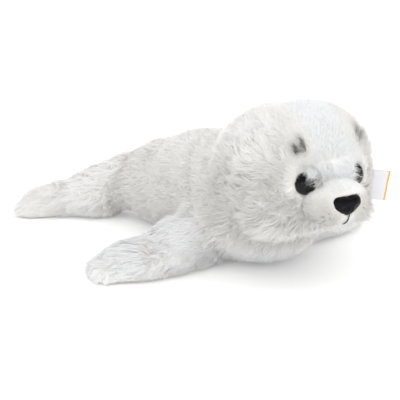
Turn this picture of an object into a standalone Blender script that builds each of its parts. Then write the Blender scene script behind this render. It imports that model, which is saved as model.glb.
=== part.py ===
"""A plush seal pup that lies on its belly with the head raised.

The cover is one sewn bag, stuffed firm, so head, trunk and tail are one solid.
Sewn or pressed onto it are the muzzle pad, four flippers, two plastic eyes and
a plastic nose with their lock washers, the mouth thread and the side label.

Metres, +Z up. The nose points to +X, and the seal's right side is at -Y. The
origin lies on the floor, under the middle of the belly.
"""

import math

import bmesh
import bpy
from mathutils import Matrix, Vector

MM = 0.001

# Fits and fineness
CLEARANCE = 0.3 * MM
BODY_FACET = 5.0 * MM
LIMB_FACET = 4.0 * MM
SOFTENING_STEPS = 12
FACETS_KEPT = 0.45
REST_SINK = 4.5 * MM
SLICE_STEP = 5.0 * MM
SLICE_LENGTH = 28.0 * MM
SAME_POINT = 0.01 * MM

# Head, a ball wider than it is long
HEAD_AHEAD = 78.0 * MM
HEAD_RISE = 82.0 * MM
SKULL_LENGTH = 78.0 * MM
SKULL_WIDTH = 115.0 * MM
SKULL_HEIGHT = 98.0 * MM
CHEEK_LENGTH = 56.0 * MM
CHEEK_WIDTH = 56.0 * MM
CHEEK_HEIGHT = 54.0 * MM
CHEEK_SPREAD = 50.0 * MM
CHEEK_DROP = 22.0 * MM
CHEEK_AHEAD = 4.0 * MM

# Neck, from the head down to the chest
NAPE_BACK = 26.0 * MM
NAPE_DROP = 4.0 * MM
NAPE_LENGTH = 84.0 * MM
NAPE_WIDTH = 102.0 * MM
NAPE_HEIGHT = 92.0 * MM
THROAT_AHEAD = 37.0 * MM
THROAT_RISE = 39.0 * MM
THROAT_LENGTH = 80.0 * MM
THROAT_WIDTH = 90.0 * MM
THROAT_HEIGHT = 74.0 * MM

# Line of the back: straight, then turned to the seal's right
STRAIGHT_BACK = 60.0 * MM
BEND_RADIUS = 95.0 * MM
BEND_ANGLE = math.radians(50)

# Sections of the trunk, from the chest to the tail
CHEST_BACK = -30.0 * MM
CHEST_WIDTH = 102.0 * MM
CHEST_HEIGHT = 97.0 * MM
CREASE_BACK = 14.0 * MM
CREASE_WIDTH = 84.0 * MM
CREASE_HEIGHT = 96.0 * MM
LOIN_BACK = 46.0 * MM
LOIN_WIDTH = 85.0 * MM
LOIN_HEIGHT = 90.0 * MM
RUMP_BACK = 94.0 * MM
RUMP_WIDTH = 68.0 * MM
RUMP_HEIGHT = 74.0 * MM
WAIST_BACK = 124.0 * MM
WAIST_WIDTH = 47.0 * MM
WAIST_HEIGHT = 50.0 * MM
WAIST_LIFT = 10.0 * MM
TAIL_BACK = 150.0 * MM
TAIL_WIDTH = 56.0 * MM
TAIL_HEIGHT = 48.0 * MM
TAIL_END_BACK = 178.0 * MM
TAIL_END_WIDTH = 44.0 * MM
TAIL_END_HEIGHT = 34.0 * MM

# Fore flippers: an upper part at the chest and a flat hand
FLIPPER_AHEAD = 11.0 * MM
FLIPPER_ROOT = 24.0 * MM
RIGHT_SWEEP = math.radians(4)
LEFT_SWEEP = math.radians(16)
FORE_LENGTH = 108.0 * MM
SHOULDER_WIDTH = 50.0 * MM
SHOULDER_HEIGHT = 44.0 * MM
ARM_REACH = 30.0 * MM
ARM_WIDTH = 60.0 * MM
ARM_HEIGHT = 44.0 * MM
WRIST_REACH = 52.0 * MM
WRIST_WIDTH = 62.0 * MM
WRIST_HEIGHT = 31.0 * MM
PALM_REACH = 70.0 * MM
PALM_WIDTH = 62.0 * MM
PALM_HEIGHT = 30.0 * MM
FORE_TIP_WIDTH = 40.0 * MM
FORE_TIP_HEIGHT = 22.0 * MM

# Hind flippers, splayed from the end of the tail
HIND_BACK = 176.0 * MM
HIND_SPLAY = math.radians(22)
HIND_LENGTH = 48.0 * MM
HIND_ROOT_WIDTH = 28.0 * MM
HIND_PALM_REACH = 22.0 * MM
HIND_PALM_WIDTH = 37.0 * MM
HIND_TIP_WIDTH = 30.0 * MM
HIND_HEIGHT = 26.0 * MM
HIND_TIP_HEIGHT = 21.0 * MM

# Muzzle pad
MUZZLE_AHEAD = 41.0 * MM
MUZZLE_DROP = 16.0 * MM
MUZZLE_LENGTH = 28.0 * MM
MUZZLE_WIDTH = 50.0 * MM
MUZZLE_HEIGHT = 33.0 * MM

# Eyes: a dome, its shank and the washer behind the cover
EYE_SINK = 4.0 * MM
EYE_SPREAD = 46.0 * MM
EYE_DROP = 1.0 * MM
EYE_TURN = math.radians(41)
EYE_DIAMETER = 16.5 * MM
EYE_DOME = 7.0 * MM
EYE_EDGE = 1.2 * MM
SHANK_DIAMETER = 4.0 * MM
SHANK_LENGTH = 9.0 * MM
TURNED_SIDES = 18
DOME_STEPS = 8
WASHER_DIAMETER = 18.0 * MM
WASHER_THICKNESS = 1.5 * MM
COVER_THICKNESS = 2.5 * MM

# Nose: a moulded wedge, wide at the top
NOSE_WIDTH = 23.0 * MM
NOSE_HEIGHT = 15.0 * MM
NOSE_DEPTH = 8.5 * MM
NOSE_POINT = 5.0 * MM
NOSE_RISE = 1.5 * MM
NOSE_TILT = math.radians(9)
NOSE_TOP_SHARE = 0.72
NOSE_LOBE_SHARE = 0.16
NOSE_TAPER = 0.55
NOSE_TAPER_POWER = 1.4
NOSE_SHOULDER_POWER = 0.7
NOSE_SIDES = 28
NOSE_LAYERS = 5
NOSE_WASHER_DIAMETER = 13.0 * MM
NOSE_SHANK_LENGTH = 8.0 * MM

# Mouth thread and side label
THREAD_DIAMETER = 1.1 * MM
THREAD_DROP = 4.5 * MM
THREAD_SPREAD = 3.0 * MM
THREAD_FALL = 1.0 * MM
THREAD_STEPS = 4
LABEL_LENGTH = 10.0 * MM
LABEL_HEIGHT = 21.5 * MM
LABEL_LAYER = 0.5 * MM
LABEL_FOLD = 2.2 * MM
LABEL_ROOT = 6.0 * MM
LABEL_AHEAD = 2.0 * MM
LABEL_DROP = 17.0 * MM
LABEL_TURN = math.radians(78)
LABEL_LEAN = math.radians(11)
LABEL_BEND_STEPS = 8

HEAD = Vector((HEAD_AHEAD, 0.0, HEAD_RISE))
FLOOR_BLOCK = 0.6


def clear_scene():
    """Remove every object and collection of the startup scene."""
    for obj in list(bpy.data.objects):
        bpy.data.objects.remove(obj)
    for collection in list(bpy.data.collections):
        bpy.data.collections.remove(collection)


def new_collection(name):
    """A collection linked to the scene."""
    collection = bpy.data.collections.new(name)
    bpy.context.scene.collection.children.link(collection)
    return collection


def material(name, colour, roughness, metallic=0.0):
    """A plain Principled material."""
    made = bpy.data.materials.new(name)
    made.use_nodes = True
    shader = made.node_tree.nodes["Principled BSDF"]
    shader.inputs["Base Color"].default_value = (*colour, 1.0)
    shader.inputs["Roughness"].default_value = roughness
    shader.inputs["Metallic"].default_value = metallic
    return made


def new_object(name, mesh, collection):
    """An object that holds this mesh."""
    obj = bpy.data.objects.new(name, mesh)
    collection.objects.link(obj)
    return obj


def mesh_from(bm, name):
    """The bmesh as a mesh datablock."""
    mesh = bpy.data.meshes.new(name)
    bm.to_mesh(mesh)
    bm.free()
    return mesh


def frozen(obj):
    """The object's mesh with its modifiers worked in, as a new datablock."""
    bpy.context.view_layer.update()
    graph = bpy.context.evaluated_depsgraph_get()
    return bpy.data.meshes.new_from_object(obj.evaluated_get(graph))


def freeze(obj):
    """Work the modifiers of a mesh object into it."""
    mesh = frozen(obj)
    obj.modifiers.clear()
    obj.data = mesh


def on_spine(back):
    """The floor point under the spine this far behind the origin, and the turn there."""
    bend_length = BEND_RADIUS * BEND_ANGLE
    turn = min(max(back - STRAIGHT_BACK, 0.0), bend_length) / BEND_RADIUS
    beyond = max(back - STRAIGHT_BACK - bend_length, 0.0)
    x = -min(back, STRAIGHT_BACK) - BEND_RADIUS * math.sin(turn) - beyond * math.cos(turn)
    y = -BEND_RADIUS * (1 - math.cos(turn)) - beyond * math.sin(turn)
    return Vector((x, y, 0.0)), turn


def axes(forward, sideways, centre):
    """A matrix with these two directions as its X and Y axes."""
    upward = forward.cross(sideways)
    turned = Matrix((forward, sideways, upward)).transposed().to_4x4()
    return Matrix.Translation(centre) @ turned


def heading(turn):
    """The level direction that the spine runs to, backwards, after this turn."""
    return Vector((-math.cos(turn), -math.sin(turn), 0.0))


def level_axes(forward, centre):
    """A matrix at the centre whose X axis is this level direction."""
    return axes(forward, Vector((0, 0, 1)).cross(forward), centre)


def add_bulge(bm, frame, length, width, height):
    """Add an ellipsoid of this full length, width and height to the bmesh."""
    size = Matrix.Diagonal((length / 2, width / 2, height / 2, 1.0))
    bmesh.ops.create_icosphere(bm, subdivisions=3, radius=1.0, matrix=frame @ size)


def add_slices(bm, sections, place):
    """Add slices along a line that blend each section into the next.

    A section is its distance along the line, its width, its height and how far
    its underside is lifted. The place gives the floor point and the direction
    of the line at a distance.
    """
    for near, far in zip(sections, sections[1:]):
        slices = math.ceil((far[0] - near[0]) / SLICE_STEP)
        for index in range(slices + 1):
            share = index / slices
            eased = share * share * (3 - 2 * share)
            distance = near[0] + (far[0] - near[0]) * share
            width, height, lift = (n + (f - n) * eased for n, f in zip(near[1:], far[1:]))
            point, direction = place(distance)
            centre = point + Vector((0, 0, height / 2 - REST_SINK + lift))
            add_bulge(bm, level_axes(direction, centre), SLICE_LENGTH, width, height)


def spine_place(back):
    """The floor point under the spine and its direction, this far back."""
    point, turn = on_spine(back)
    return point, heading(turn)


def soften(obj, facet):
    """Merge overlapping bulges into one skin and smooth it."""
    skin = obj.modifiers.new("One skin", "REMESH")
    skin.mode = "VOXEL"
    skin.voxel_size = facet
    smooth = obj.modifiers.new("Soften", "SMOOTH")
    smooth.factor = 0.5
    smooth.iterations = SOFTENING_STEPS
    fewer = obj.modifiers.new("Fewer facets", "DECIMATE")
    fewer.ratio = FACETS_KEPT
    obj.modifiers.new("Flat facets", "TRIANGULATE")
    freeze(obj)


def as_cutter(obj):
    """Mark a helper object as a cutter."""
    obj.hide_render = True
    obj.display_type = "WIRE"
    return obj


def grown(obj, name, cutters):
    """A cutter of the object's own form, larger by the clearance all round."""
    bm = bmesh.new()
    bm.from_mesh(obj.data)
    bm.normal_update()
    for vert, normal in [(v, v.normal.copy()) for v in bm.verts]:
        vert.co += normal * CLEARANCE
    return as_cutter(new_object(name, mesh_from(bm, name), cutters))


def cut(obj, cutter):
    """Cut the cutter's form out of the object."""
    boolean = obj.modifiers.new("Cut " + cutter.name, "BOOLEAN")
    boolean.operation = "DIFFERENCE"
    boolean.solver = "EXACT"
    boolean.object = cutter


def floor_block(cutters):
    """A block under the floor that flattens what rests on it."""
    bm = bmesh.new()
    centre = Matrix.Translation((0, 0, -FLOOR_BLOCK / 2))
    bmesh.ops.create_cube(bm, size=FLOOR_BLOCK, matrix=centre)
    return as_cutter(new_object("floor_cutter", mesh_from(bm, "floor_cutter"), cutters))


def body_form(parts):
    """Head, neck, trunk and tail as one softened bag, before anything is cut."""
    bm = bmesh.new()
    forward = Vector((1, 0, 0))
    add_bulge(bm, level_axes(forward, HEAD), SKULL_LENGTH, SKULL_WIDTH, SKULL_HEIGHT)
    for side in (-1, 1):
        cheek = HEAD + Vector((CHEEK_AHEAD, side * CHEEK_SPREAD / 2, -CHEEK_DROP))
        add_bulge(bm, level_axes(forward, cheek), CHEEK_LENGTH, CHEEK_WIDTH, CHEEK_HEIGHT)
    nape = HEAD - Vector((NAPE_BACK, 0, NAPE_DROP))
    add_bulge(bm, level_axes(forward, nape), NAPE_LENGTH, NAPE_WIDTH, NAPE_HEIGHT)
    throat = Vector((THROAT_AHEAD, 0, THROAT_RISE))
    add_bulge(bm, level_axes(forward, throat), THROAT_LENGTH, THROAT_WIDTH, THROAT_HEIGHT)
    add_slices(
        bm,
        (
            (CHEST_BACK, CHEST_WIDTH, CHEST_HEIGHT, 0),
            (CREASE_BACK, CREASE_WIDTH, CREASE_HEIGHT, 0),
            (LOIN_BACK, LOIN_WIDTH, LOIN_HEIGHT, 0),
            (RUMP_BACK, RUMP_WIDTH, RUMP_HEIGHT, 0),
            (WAIST_BACK, WAIST_WIDTH, WAIST_HEIGHT, WAIST_LIFT),
            (TAIL_BACK, TAIL_WIDTH, TAIL_HEIGHT, 0),
            (TAIL_END_BACK, TAIL_END_WIDTH, TAIL_END_HEIGHT, 0),
        ),
        spine_place,
    )
    body = new_object("body", mesh_from(bm, "body"), parts)
    soften(body, BODY_FACET)
    return body


def flipper(parts, name, root, outward, sections):
    """A stuffed paddle from its root outwards, blended through its sections."""
    bm = bmesh.new()
    add_slices(bm, sections, lambda reach: (root + outward * reach, outward))
    piece = new_object(name, mesh_from(bm, name), parts)
    soften(piece, LIMB_FACET)
    return piece


def fore_flipper(parts, name, side, sweep):
    """One fore flipper; side is 1 at the seal's left and -1 at its right."""
    outward = Vector((-math.sin(sweep), side * math.cos(sweep), 0))
    root = Vector((FLIPPER_AHEAD, side * FLIPPER_ROOT, 0))
    sections = (
        (SLICE_LENGTH / 2, SHOULDER_WIDTH, SHOULDER_HEIGHT, 0),
        (ARM_REACH, ARM_WIDTH, ARM_HEIGHT, 0),
        (WRIST_REACH, WRIST_WIDTH, WRIST_HEIGHT, 0),
        (PALM_REACH, PALM_WIDTH, PALM_HEIGHT, 0),
        (FORE_LENGTH - SLICE_LENGTH / 2, FORE_TIP_WIDTH, FORE_TIP_HEIGHT, 0),
    )
    return flipper(parts, name, root, outward, sections)


def hind_flipper(parts, name, side):
    """One hind flipper, splayed from the end of the tail."""
    root, turn = on_spine(HIND_BACK)
    outward = heading(turn - side * HIND_SPLAY)
    sections = (
        (0, HIND_ROOT_WIDTH, HIND_HEIGHT, 0),
        (HIND_PALM_REACH, HIND_PALM_WIDTH, HIND_HEIGHT, 0),
        (HIND_LENGTH - SLICE_LENGTH / 2, HIND_TIP_WIDTH, HIND_TIP_HEIGHT, 0),
    )
    return flipper(parts, name, root, outward, sections)


def turned(name, profile, frame, collection):
    """A solid turned from a profile of (radius, height) that runs top to bottom."""
    bm = bmesh.new()
    points = [bm.verts.new((radius, 0, height)) for radius, height in profile]
    for first, second in zip(points, points[1:]):
        bm.edges.new((first, second))
    obj = new_object(name, mesh_from(bm, name), collection)
    screw = obj.modifiers.new("Turn", "SCREW")
    screw.steps = TURNED_SIDES
    screw.render_steps = TURNED_SIDES
    screw.use_merge_vertices = True
    screw.merge_threshold = SAME_POINT
    screw.use_smooth_shade = True
    freeze(obj)
    obj.data.transform(frame)
    return obj


def dome_arc(radius, height):
    """Points of a dome from its top to its rim, as (radius, height)."""
    turns = [math.pi / 2 * step / DOME_STEPS for step in range(DOME_STEPS + 1)]
    return [(radius * math.sin(t), height * math.cos(t)) for t in turns]


def shank_profile(shank_length, washer_diameter, start, grow):
    """The shank below a start height; grown, it widens round the washer too."""
    radius = SHANK_DIAMETER / 2 + grow
    points = [(radius, start)]
    if grow:
        washer_top = -COVER_THICKNESS + start + 2 * grow
        washer_end = washer_top - WASHER_THICKNESS - 2 * grow
        outer = washer_diameter / 2 + grow
        points += [(radius, washer_top), (outer, washer_top), (outer, washer_end)]
        points += [(radius, washer_end)]
    points += [(radius, -shank_length - grow), (0, -shank_length - grow)]
    return points


def eye_profile(grow=0.0):
    """The dome, its edge, its flat back and the shank."""
    radius = EYE_DIAMETER / 2 + grow
    profile = dome_arc(radius, EYE_DOME + grow)
    profile.append((radius, -EYE_EDGE - grow))
    return profile + shank_profile(SHANK_LENGTH, WASHER_DIAMETER, -EYE_EDGE - grow, grow)


def washer(parts, name, frame, diameter, back):
    """A lock washer round the shank, behind the cover."""
    inner = SHANK_DIAMETER / 2 + CLEARANCE
    top = -back - COVER_THICKNESS
    low = top - WASHER_THICKNESS
    outer = diameter / 2
    profile = [(inner, top), (outer, top), (outer, low), (inner, low), (inner, top)]
    return turned(name, profile, frame, parts)


def skull_front(across, upward):
    """How far ahead of the skull's centre its face lies at this place."""
    share = 1 - (2 * across / SKULL_WIDTH) ** 2 - (2 * upward / SKULL_HEIGHT) ** 2
    return SKULL_LENGTH / 2 * math.sqrt(share)


def eye_frame(side):
    """The eye's place, with its Z axis looking out of the head."""
    outward = Vector((math.cos(EYE_TURN), side * math.sin(EYE_TURN), 0))
    ahead = skull_front(EYE_SPREAD / 2, EYE_DROP)
    centre = HEAD + Vector((ahead, side * EYE_SPREAD / 2, -EYE_DROP)) - outward * EYE_SINK
    across = Vector((0, 0, 1)).cross(outward)
    return axes(across, outward.cross(across), centre)


def eye(parts, cutters, sewn, name, side):
    """One eye with its washer, pressed into a socket in what is sewn there."""
    frame = eye_frame(side)
    dome = turned("eye_" + name, eye_profile(), frame, parts)
    ring = washer(parts, f"eye_washer_{name}", frame, WASHER_DIAMETER, EYE_EDGE)
    socket = turned(f"eye_socket_{name}", eye_profile(CLEARANCE), frame, cutters)
    for piece in sewn:
        cut(piece, as_cutter(socket))
    return dome, ring


def muzzle_place():
    """The centre of the muzzle pad."""
    return HEAD + Vector((MUZZLE_AHEAD, 0, -MUZZLE_DROP))


def muzzle_form(parts):
    """The muzzle pad before it is cut to the face."""
    bm = bmesh.new()
    frame = level_axes(Vector((1, 0, 0)), muzzle_place())
    add_bulge(bm, frame, MUZZLE_LENGTH, MUZZLE_WIDTH, MUZZLE_HEIGHT)
    return new_object("muzzle", mesh_from(bm, "muzzle"), parts)


def nose_outline():
    """The nose from the front: two round lobes above, a blunt point below."""
    points = []
    for step in range(NOSE_SIDES):
        angle = 2 * math.pi * step / NOSE_SIDES
        across = math.cos(angle) * NOSE_WIDTH / 2
        lobe = NOSE_LOBE_SHARE * NOSE_HEIGHT * abs(math.cos(angle))
        upward = math.sin(angle) * NOSE_HEIGHT / 2
        if upward > 0:
            upward = upward * NOSE_TOP_SHARE + lobe
        else:
            across *= 1 - NOSE_TAPER * abs(math.sin(angle)) ** NOSE_TAPER_POWER
        points.append((across, upward))
    return points


def nose_shell(bm, frame, grow):
    """Add the moulded nose: rings of its outline that round off to the front."""
    rings = []
    for layer in range(NOSE_LAYERS):
        round_off = math.pi / 2 * layer / NOSE_LAYERS
        depth = math.sin(round_off) * (NOSE_DEPTH + grow)
        share = math.cos(round_off) ** NOSE_SHOULDER_POWER
        ring = []
        for across, upward in nose_outline():
            reach = math.hypot(across, upward)
            scale = share * (reach + grow) / reach
            ring.append(bm.verts.new(frame @ Vector((across * scale, upward * scale, depth))))
        rings.append(ring)
    for near, far in zip(rings, rings[1:]):
        for index in range(len(near)):
            after = (index + 1) % len(near)
            bm.faces.new((near[index], near[after], far[after], far[index]))
    bm.faces.new(list(reversed(rings[0])))
    bm.faces.new(rings[-1])


def nose_frame():
    """The back of the nose, its Z axis looking forwards and a little up."""
    outward = Vector((math.cos(NOSE_TILT), 0, math.sin(NOSE_TILT)))
    sideways = Vector((0, 1, 0))
    front = muzzle_place() + Vector((MUZZLE_LENGTH / 2 - NOSE_POINT, 0, NOSE_RISE))
    return axes(sideways, outward.cross(sideways), front)


def nose(parts, cutters, muzzle):
    """The nose, with its shank and washer inside the muzzle pad."""
    frame = nose_frame()
    shell = bmesh.new()
    nose_shell(shell, frame, 0.0)
    piece = new_object("nose", mesh_from(shell, "nose"), parts)
    seat_bm = bmesh.new()
    nose_shell(seat_bm, frame @ Matrix.Translation((0, 0, -CLEARANCE)), CLEARANCE)
    seat = as_cutter(new_object("nose_seat", mesh_from(seat_bm, "nose_seat"), cutters))
    overlap = SHANK_DIAMETER / 4
    shank = [(0, overlap), (SHANK_DIAMETER / 2, overlap), (SHANK_DIAMETER / 2, 0)]
    shank += shank_profile(NOSE_SHANK_LENGTH, NOSE_WASHER_DIAMETER, -overlap, 0.0)
    stem = as_cutter(turned("nose_stem", shank, frame, cutters))
    join = piece.modifiers.new("Shank", "BOOLEAN")
    join.operation = "UNION"
    join.solver = "EXACT"
    join.object = stem
    pocket = [(0, overlap), (SHANK_DIAMETER / 2 + CLEARANCE, overlap)]
    pocket += shank_profile(NOSE_SHANK_LENGTH, NOSE_WASHER_DIAMETER, -CLEARANCE, CLEARANCE)
    cut(muzzle, seat)
    cut(muzzle, as_cutter(turned("nose_pocket", pocket, frame, cutters)))
    ring = washer(parts, "nose_washer", frame, NOSE_WASHER_DIAMETER, CLEARANCE)
    return piece, ring


def on_muzzle(across, upward, proud):
    """A point in front of the muzzle pad's surface, proud of it by this much."""
    half = (MUZZLE_LENGTH / 2, MUZZLE_WIDTH / 2, MUZZLE_HEIGHT / 2)
    share = 1 - (across / half[1]) ** 2 - (upward / half[2]) ** 2
    offset = Vector((half[0] * math.sqrt(max(share, 0.0)), across, upward))
    normal = Vector([offset[i] / half[i] ** 2 for i in range(3)]).normalized()
    return muzzle_place() + offset + normal * proud


def tube(name, points, diameter, collection):
    """A closed tube through these points, as a mesh."""
    curve = bpy.data.curves.new(name, "CURVE")
    curve.dimensions = "3D"
    curve.bevel_depth = diameter / 2
    curve.bevel_resolution = 2
    curve.use_fill_caps = True
    spline = curve.splines.new("POLY")
    spline.points.add(len(points) - 1)
    for target, point in zip(spline.points, points):
        target.co = (*point, 1.0)
    guide = new_object(name + "_guide", curve, collection)
    mesh = frozen(guide)
    bpy.data.objects.remove(guide)
    bm = bmesh.new()
    bm.from_mesh(mesh)
    bmesh.ops.remove_doubles(bm, verts=bm.verts, dist=SAME_POINT)
    return new_object(name, mesh_from(bm, name), collection)


def mouth_thread(parts, cutters):
    """A stitch straight down from the nose that parts to both sides."""
    proud = THREAD_DIAMETER / 2 + CLEARANCE
    top = NOSE_RISE - NOSE_HEIGHT / 2 - THREAD_DIAMETER / 2 - 2 * CLEARANCE
    fork = top - THREAD_DROP
    down = []
    for step in range(THREAD_STEPS + 1):
        down.append(on_muzzle(0, top - THREAD_DROP * step / THREAD_STEPS, proud))
    lip = []
    for step in range(-THREAD_STEPS, THREAD_STEPS + 1):
        share = step / THREAD_STEPS
        fall = -THREAD_FALL * share * share
        lip.append(on_muzzle(share * THREAD_SPREAD, fork + fall, proud))
    thread = tube("mouth_stitch", down, THREAD_DIAMETER, parts)
    branch = as_cutter(tube("mouth_branch", lip, THREAD_DIAMETER, cutters))
    join = thread.modifiers.new("Branch", "BOOLEAN")
    join.operation = "UNION"
    join.solver = "EXACT"
    join.object = branch
    return thread


def side_label(parts):
    """A strip of satin folded into a loop, its ends sewn into the cover."""
    outward = Vector((math.cos(LABEL_TURN), math.sin(LABEL_TURN), 0))
    across = Vector((0, 0, 1)).cross(outward)
    surface = HEAD + Vector((LABEL_AHEAD, 0, -LABEL_DROP))
    surface += outward * (SKULL_WIDTH / 2 - LABEL_ROOT)
    frame = axes(outward, across, surface) @ Matrix.Rotation(LABEL_LEAN, 4, "Y")
    half = LABEL_FOLD / 2
    inner = half - LABEL_LAYER
    fold = LABEL_ROOT + LABEL_LENGTH - half
    bend = [math.pi * (step / LABEL_BEND_STEPS - 0.5) for step in range(LABEL_BEND_STEPS + 1)]
    outline = [(0, -half)]
    outline += [(fold + half * math.cos(a), half * math.sin(a)) for a in bend]
    outline += [(0, half), (0, inner)]
    outline += [(fold + inner * math.cos(a), inner * math.sin(a)) for a in reversed(bend)]
    outline.append((0, -inner))
    bm = bmesh.new()
    low = [bm.verts.new(frame @ Vector((x, y, -LABEL_HEIGHT / 2))) for x, y in outline]
    high = [bm.verts.new(frame @ Vector((x, y, LABEL_HEIGHT / 2))) for x, y in outline]
    for index in range(len(low)):
        after = (index + 1) % len(low)
        bm.faces.new((low[index], low[after], high[after], high[index]))
    bm.faces.new(list(reversed(low)))
    bm.faces.new(high)
    bmesh.ops.recalc_face_normals(bm, faces=bm.faces)
    return new_object("side_label", mesh_from(bm, "side_label"), parts)


def finish(obj, finish_material):
    """Give a piece its material and smooth shading."""
    obj.data.materials.clear()
    obj.data.materials.append(finish_material)
    obj.data.shade_smooth()


def build():
    """Make every piece of the seal."""
    clear_scene()
    parts = new_collection("plush_seal")
    cutters = new_collection("cutters")
    floor = floor_block(cutters)

    long_pile = material("white_long_pile", (0.86, 0.86, 0.86), 0.95)
    short_pile = material("white_short_pile", (0.88, 0.88, 0.88), 0.9)
    black_gloss = material("black_gloss_plastic", (0.012, 0.011, 0.011), 0.12)
    black_satin = material("black_moulded_plastic", (0.02, 0.019, 0.02), 0.4)
    clear_white = material("white_nylon", (0.7, 0.7, 0.68), 0.5)
    thread_dark = material("dark_thread", (0.05, 0.045, 0.045), 0.8)
    satin = material("white_satin", (0.85, 0.84, 0.82), 0.35)

    body = body_form(parts)
    around_body = grown(body, "around_body", cutters)

    flippers = [
        fore_flipper(parts, "fore_flipper_right", -1, RIGHT_SWEEP),
        fore_flipper(parts, "fore_flipper_left", 1, LEFT_SWEEP),
        hind_flipper(parts, "hind_flipper_right", -1),
        hind_flipper(parts, "hind_flipper_left", 1),
    ]
    around_hind = grown(flippers[2], "around_hind_flipper", cutters)
    cut(flippers[3], around_hind)
    for flipper in flippers:
        cut(flipper, around_body)
        cut(flipper, floor)
        finish(flipper, long_pile)

    muzzle = muzzle_form(parts)
    cut(muzzle, around_body)
    nose_piece, nose_ring = nose(parts, cutters, muzzle)
    finish(muzzle, short_pile)
    finish(nose_piece, black_satin)
    finish(nose_ring, clear_white)

    cut(body, floor)
    for name, side in (("right", -1), ("left", 1)):
        dome, ring = eye(parts, cutters, (body, muzzle), name, side)
        finish(dome, black_gloss)
        finish(ring, clear_white)
    finish(body, long_pile)

    finish(mouth_thread(parts, cutters), thread_dark)
    label = side_label(parts)
    cut(label, around_body)
    finish(label, satin)


build()
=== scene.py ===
"""Looks of the plush seal: its pile, eyes, nose, mouth thread, label and studio.

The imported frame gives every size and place. Each stuffed piece gets a skin, which
lies inside its solid by the height of the pile, and strands that grow from it.
Unless a line says otherwise, lengths and places are in millimetres in the row
frame: +X to the nose, +Y to the seal's left, +Z up, with the floor at zero.
"""

import logging
import math
from dataclasses import dataclass, replace
from enum import Enum
from typing import Iterator, Sequence

import bmesh
import bpy
import numpy as np
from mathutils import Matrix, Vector
from mathutils.bvhtree import BVHTree


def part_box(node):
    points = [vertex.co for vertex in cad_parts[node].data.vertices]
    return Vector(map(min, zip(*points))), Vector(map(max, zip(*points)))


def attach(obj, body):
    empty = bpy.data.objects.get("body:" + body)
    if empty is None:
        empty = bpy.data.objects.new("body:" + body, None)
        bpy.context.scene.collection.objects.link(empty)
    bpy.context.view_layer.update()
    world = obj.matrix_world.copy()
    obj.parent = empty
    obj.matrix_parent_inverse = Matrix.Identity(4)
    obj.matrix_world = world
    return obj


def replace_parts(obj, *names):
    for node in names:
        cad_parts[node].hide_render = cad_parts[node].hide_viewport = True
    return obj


LOG = logging.getLogger("plush_seal")

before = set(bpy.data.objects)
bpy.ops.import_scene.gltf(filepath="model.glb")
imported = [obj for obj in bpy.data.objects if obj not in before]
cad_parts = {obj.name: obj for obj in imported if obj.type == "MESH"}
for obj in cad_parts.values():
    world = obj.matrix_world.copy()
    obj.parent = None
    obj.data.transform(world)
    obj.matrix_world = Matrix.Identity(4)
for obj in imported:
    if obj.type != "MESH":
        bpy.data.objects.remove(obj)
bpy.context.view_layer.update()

Colour = tuple[float, float, float]
Place = tuple[float, float, float]
Socket = bpy.types.NodeSocket

MM = 0.001
ROOT_BODY = "root"
BAKE_MAP = "OFBake"
UP = Vector((0.0, 0.0, 1.0))
WHITE = (1.0, 1.0, 1.0)

SWIRLS_PER_METRE = 70.0
PILE_RISE = 0.4
SEAM = (1.0, 8.0)
BARE_SEAM = (0.2, 0.9)
SKIN_OFF_FLOOR = 1.0


class Slot(Enum):
    """The record's material slots."""

    LONG_PILE = "white_long_pile"
    SHORT_PILE = "white_short_pile"
    GLOSS_BLACK = "black_gloss_plastic"
    MOULDED_BLACK = "black_moulded_plastic"
    THREAD = "dark_thread"
    SATIN = "white_satin"


class Side(Enum):
    """The seal's two sides, with the sign of Y there."""

    RIGHT = -1
    LEFT = 1

    @property
    def word(self) -> str:
        """The side's name as the nodes use it."""
        return self.name.lower()


def eased(low: float, high: float, value: np.ndarray) -> np.ndarray:
    """An eased share that goes from 0 at low to 1 at high.

    Args:
        low: The value with share 0; it may be the larger one.
        high: The value with share 1.
        value: The values to judge.

    Returns:
        The share of each value, from 0 to 1.
    """
    share = np.clip((value - low) / (high - low), 0.0, 1.0)
    return share * share * (3.0 - 2.0 * share)


def bell(offset: np.ndarray, width: float) -> np.ndarray:
    """A bell curve that is 1 where the offset is 0."""
    return np.exp(-((offset / width) ** 2))


def unit(vectors: np.ndarray) -> np.ndarray:
    """The vectors scaled to length 1, row by row."""
    lengths = np.linalg.norm(vectors, axis=1, keepdims=True)
    return vectors / np.maximum(lengths, 1e-9)


def mixed(first: np.ndarray, second: object, share: np.ndarray) -> np.ndarray:
    """The first values where the share is 0, the second where it is 1."""
    return first + (second - first) * share


def turned(flow: np.ndarray, towards: np.ndarray, share: np.ndarray) -> np.ndarray:
    """The directions of a flow, turned towards others by a share."""
    return unit(flow * (1 - share)[:, None] + towards * share[:, None])


def columns(count: int, *parts: object) -> np.ndarray:
    """Rows whose parts are numbers, or arrays of that many numbers."""
    return np.stack([part + np.zeros(count) for part in parts], 1)


def middle(node: str) -> np.ndarray:
    """The centre of a node's box."""
    low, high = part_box(node)
    return np.array((low + high) / 2) / MM


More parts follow.
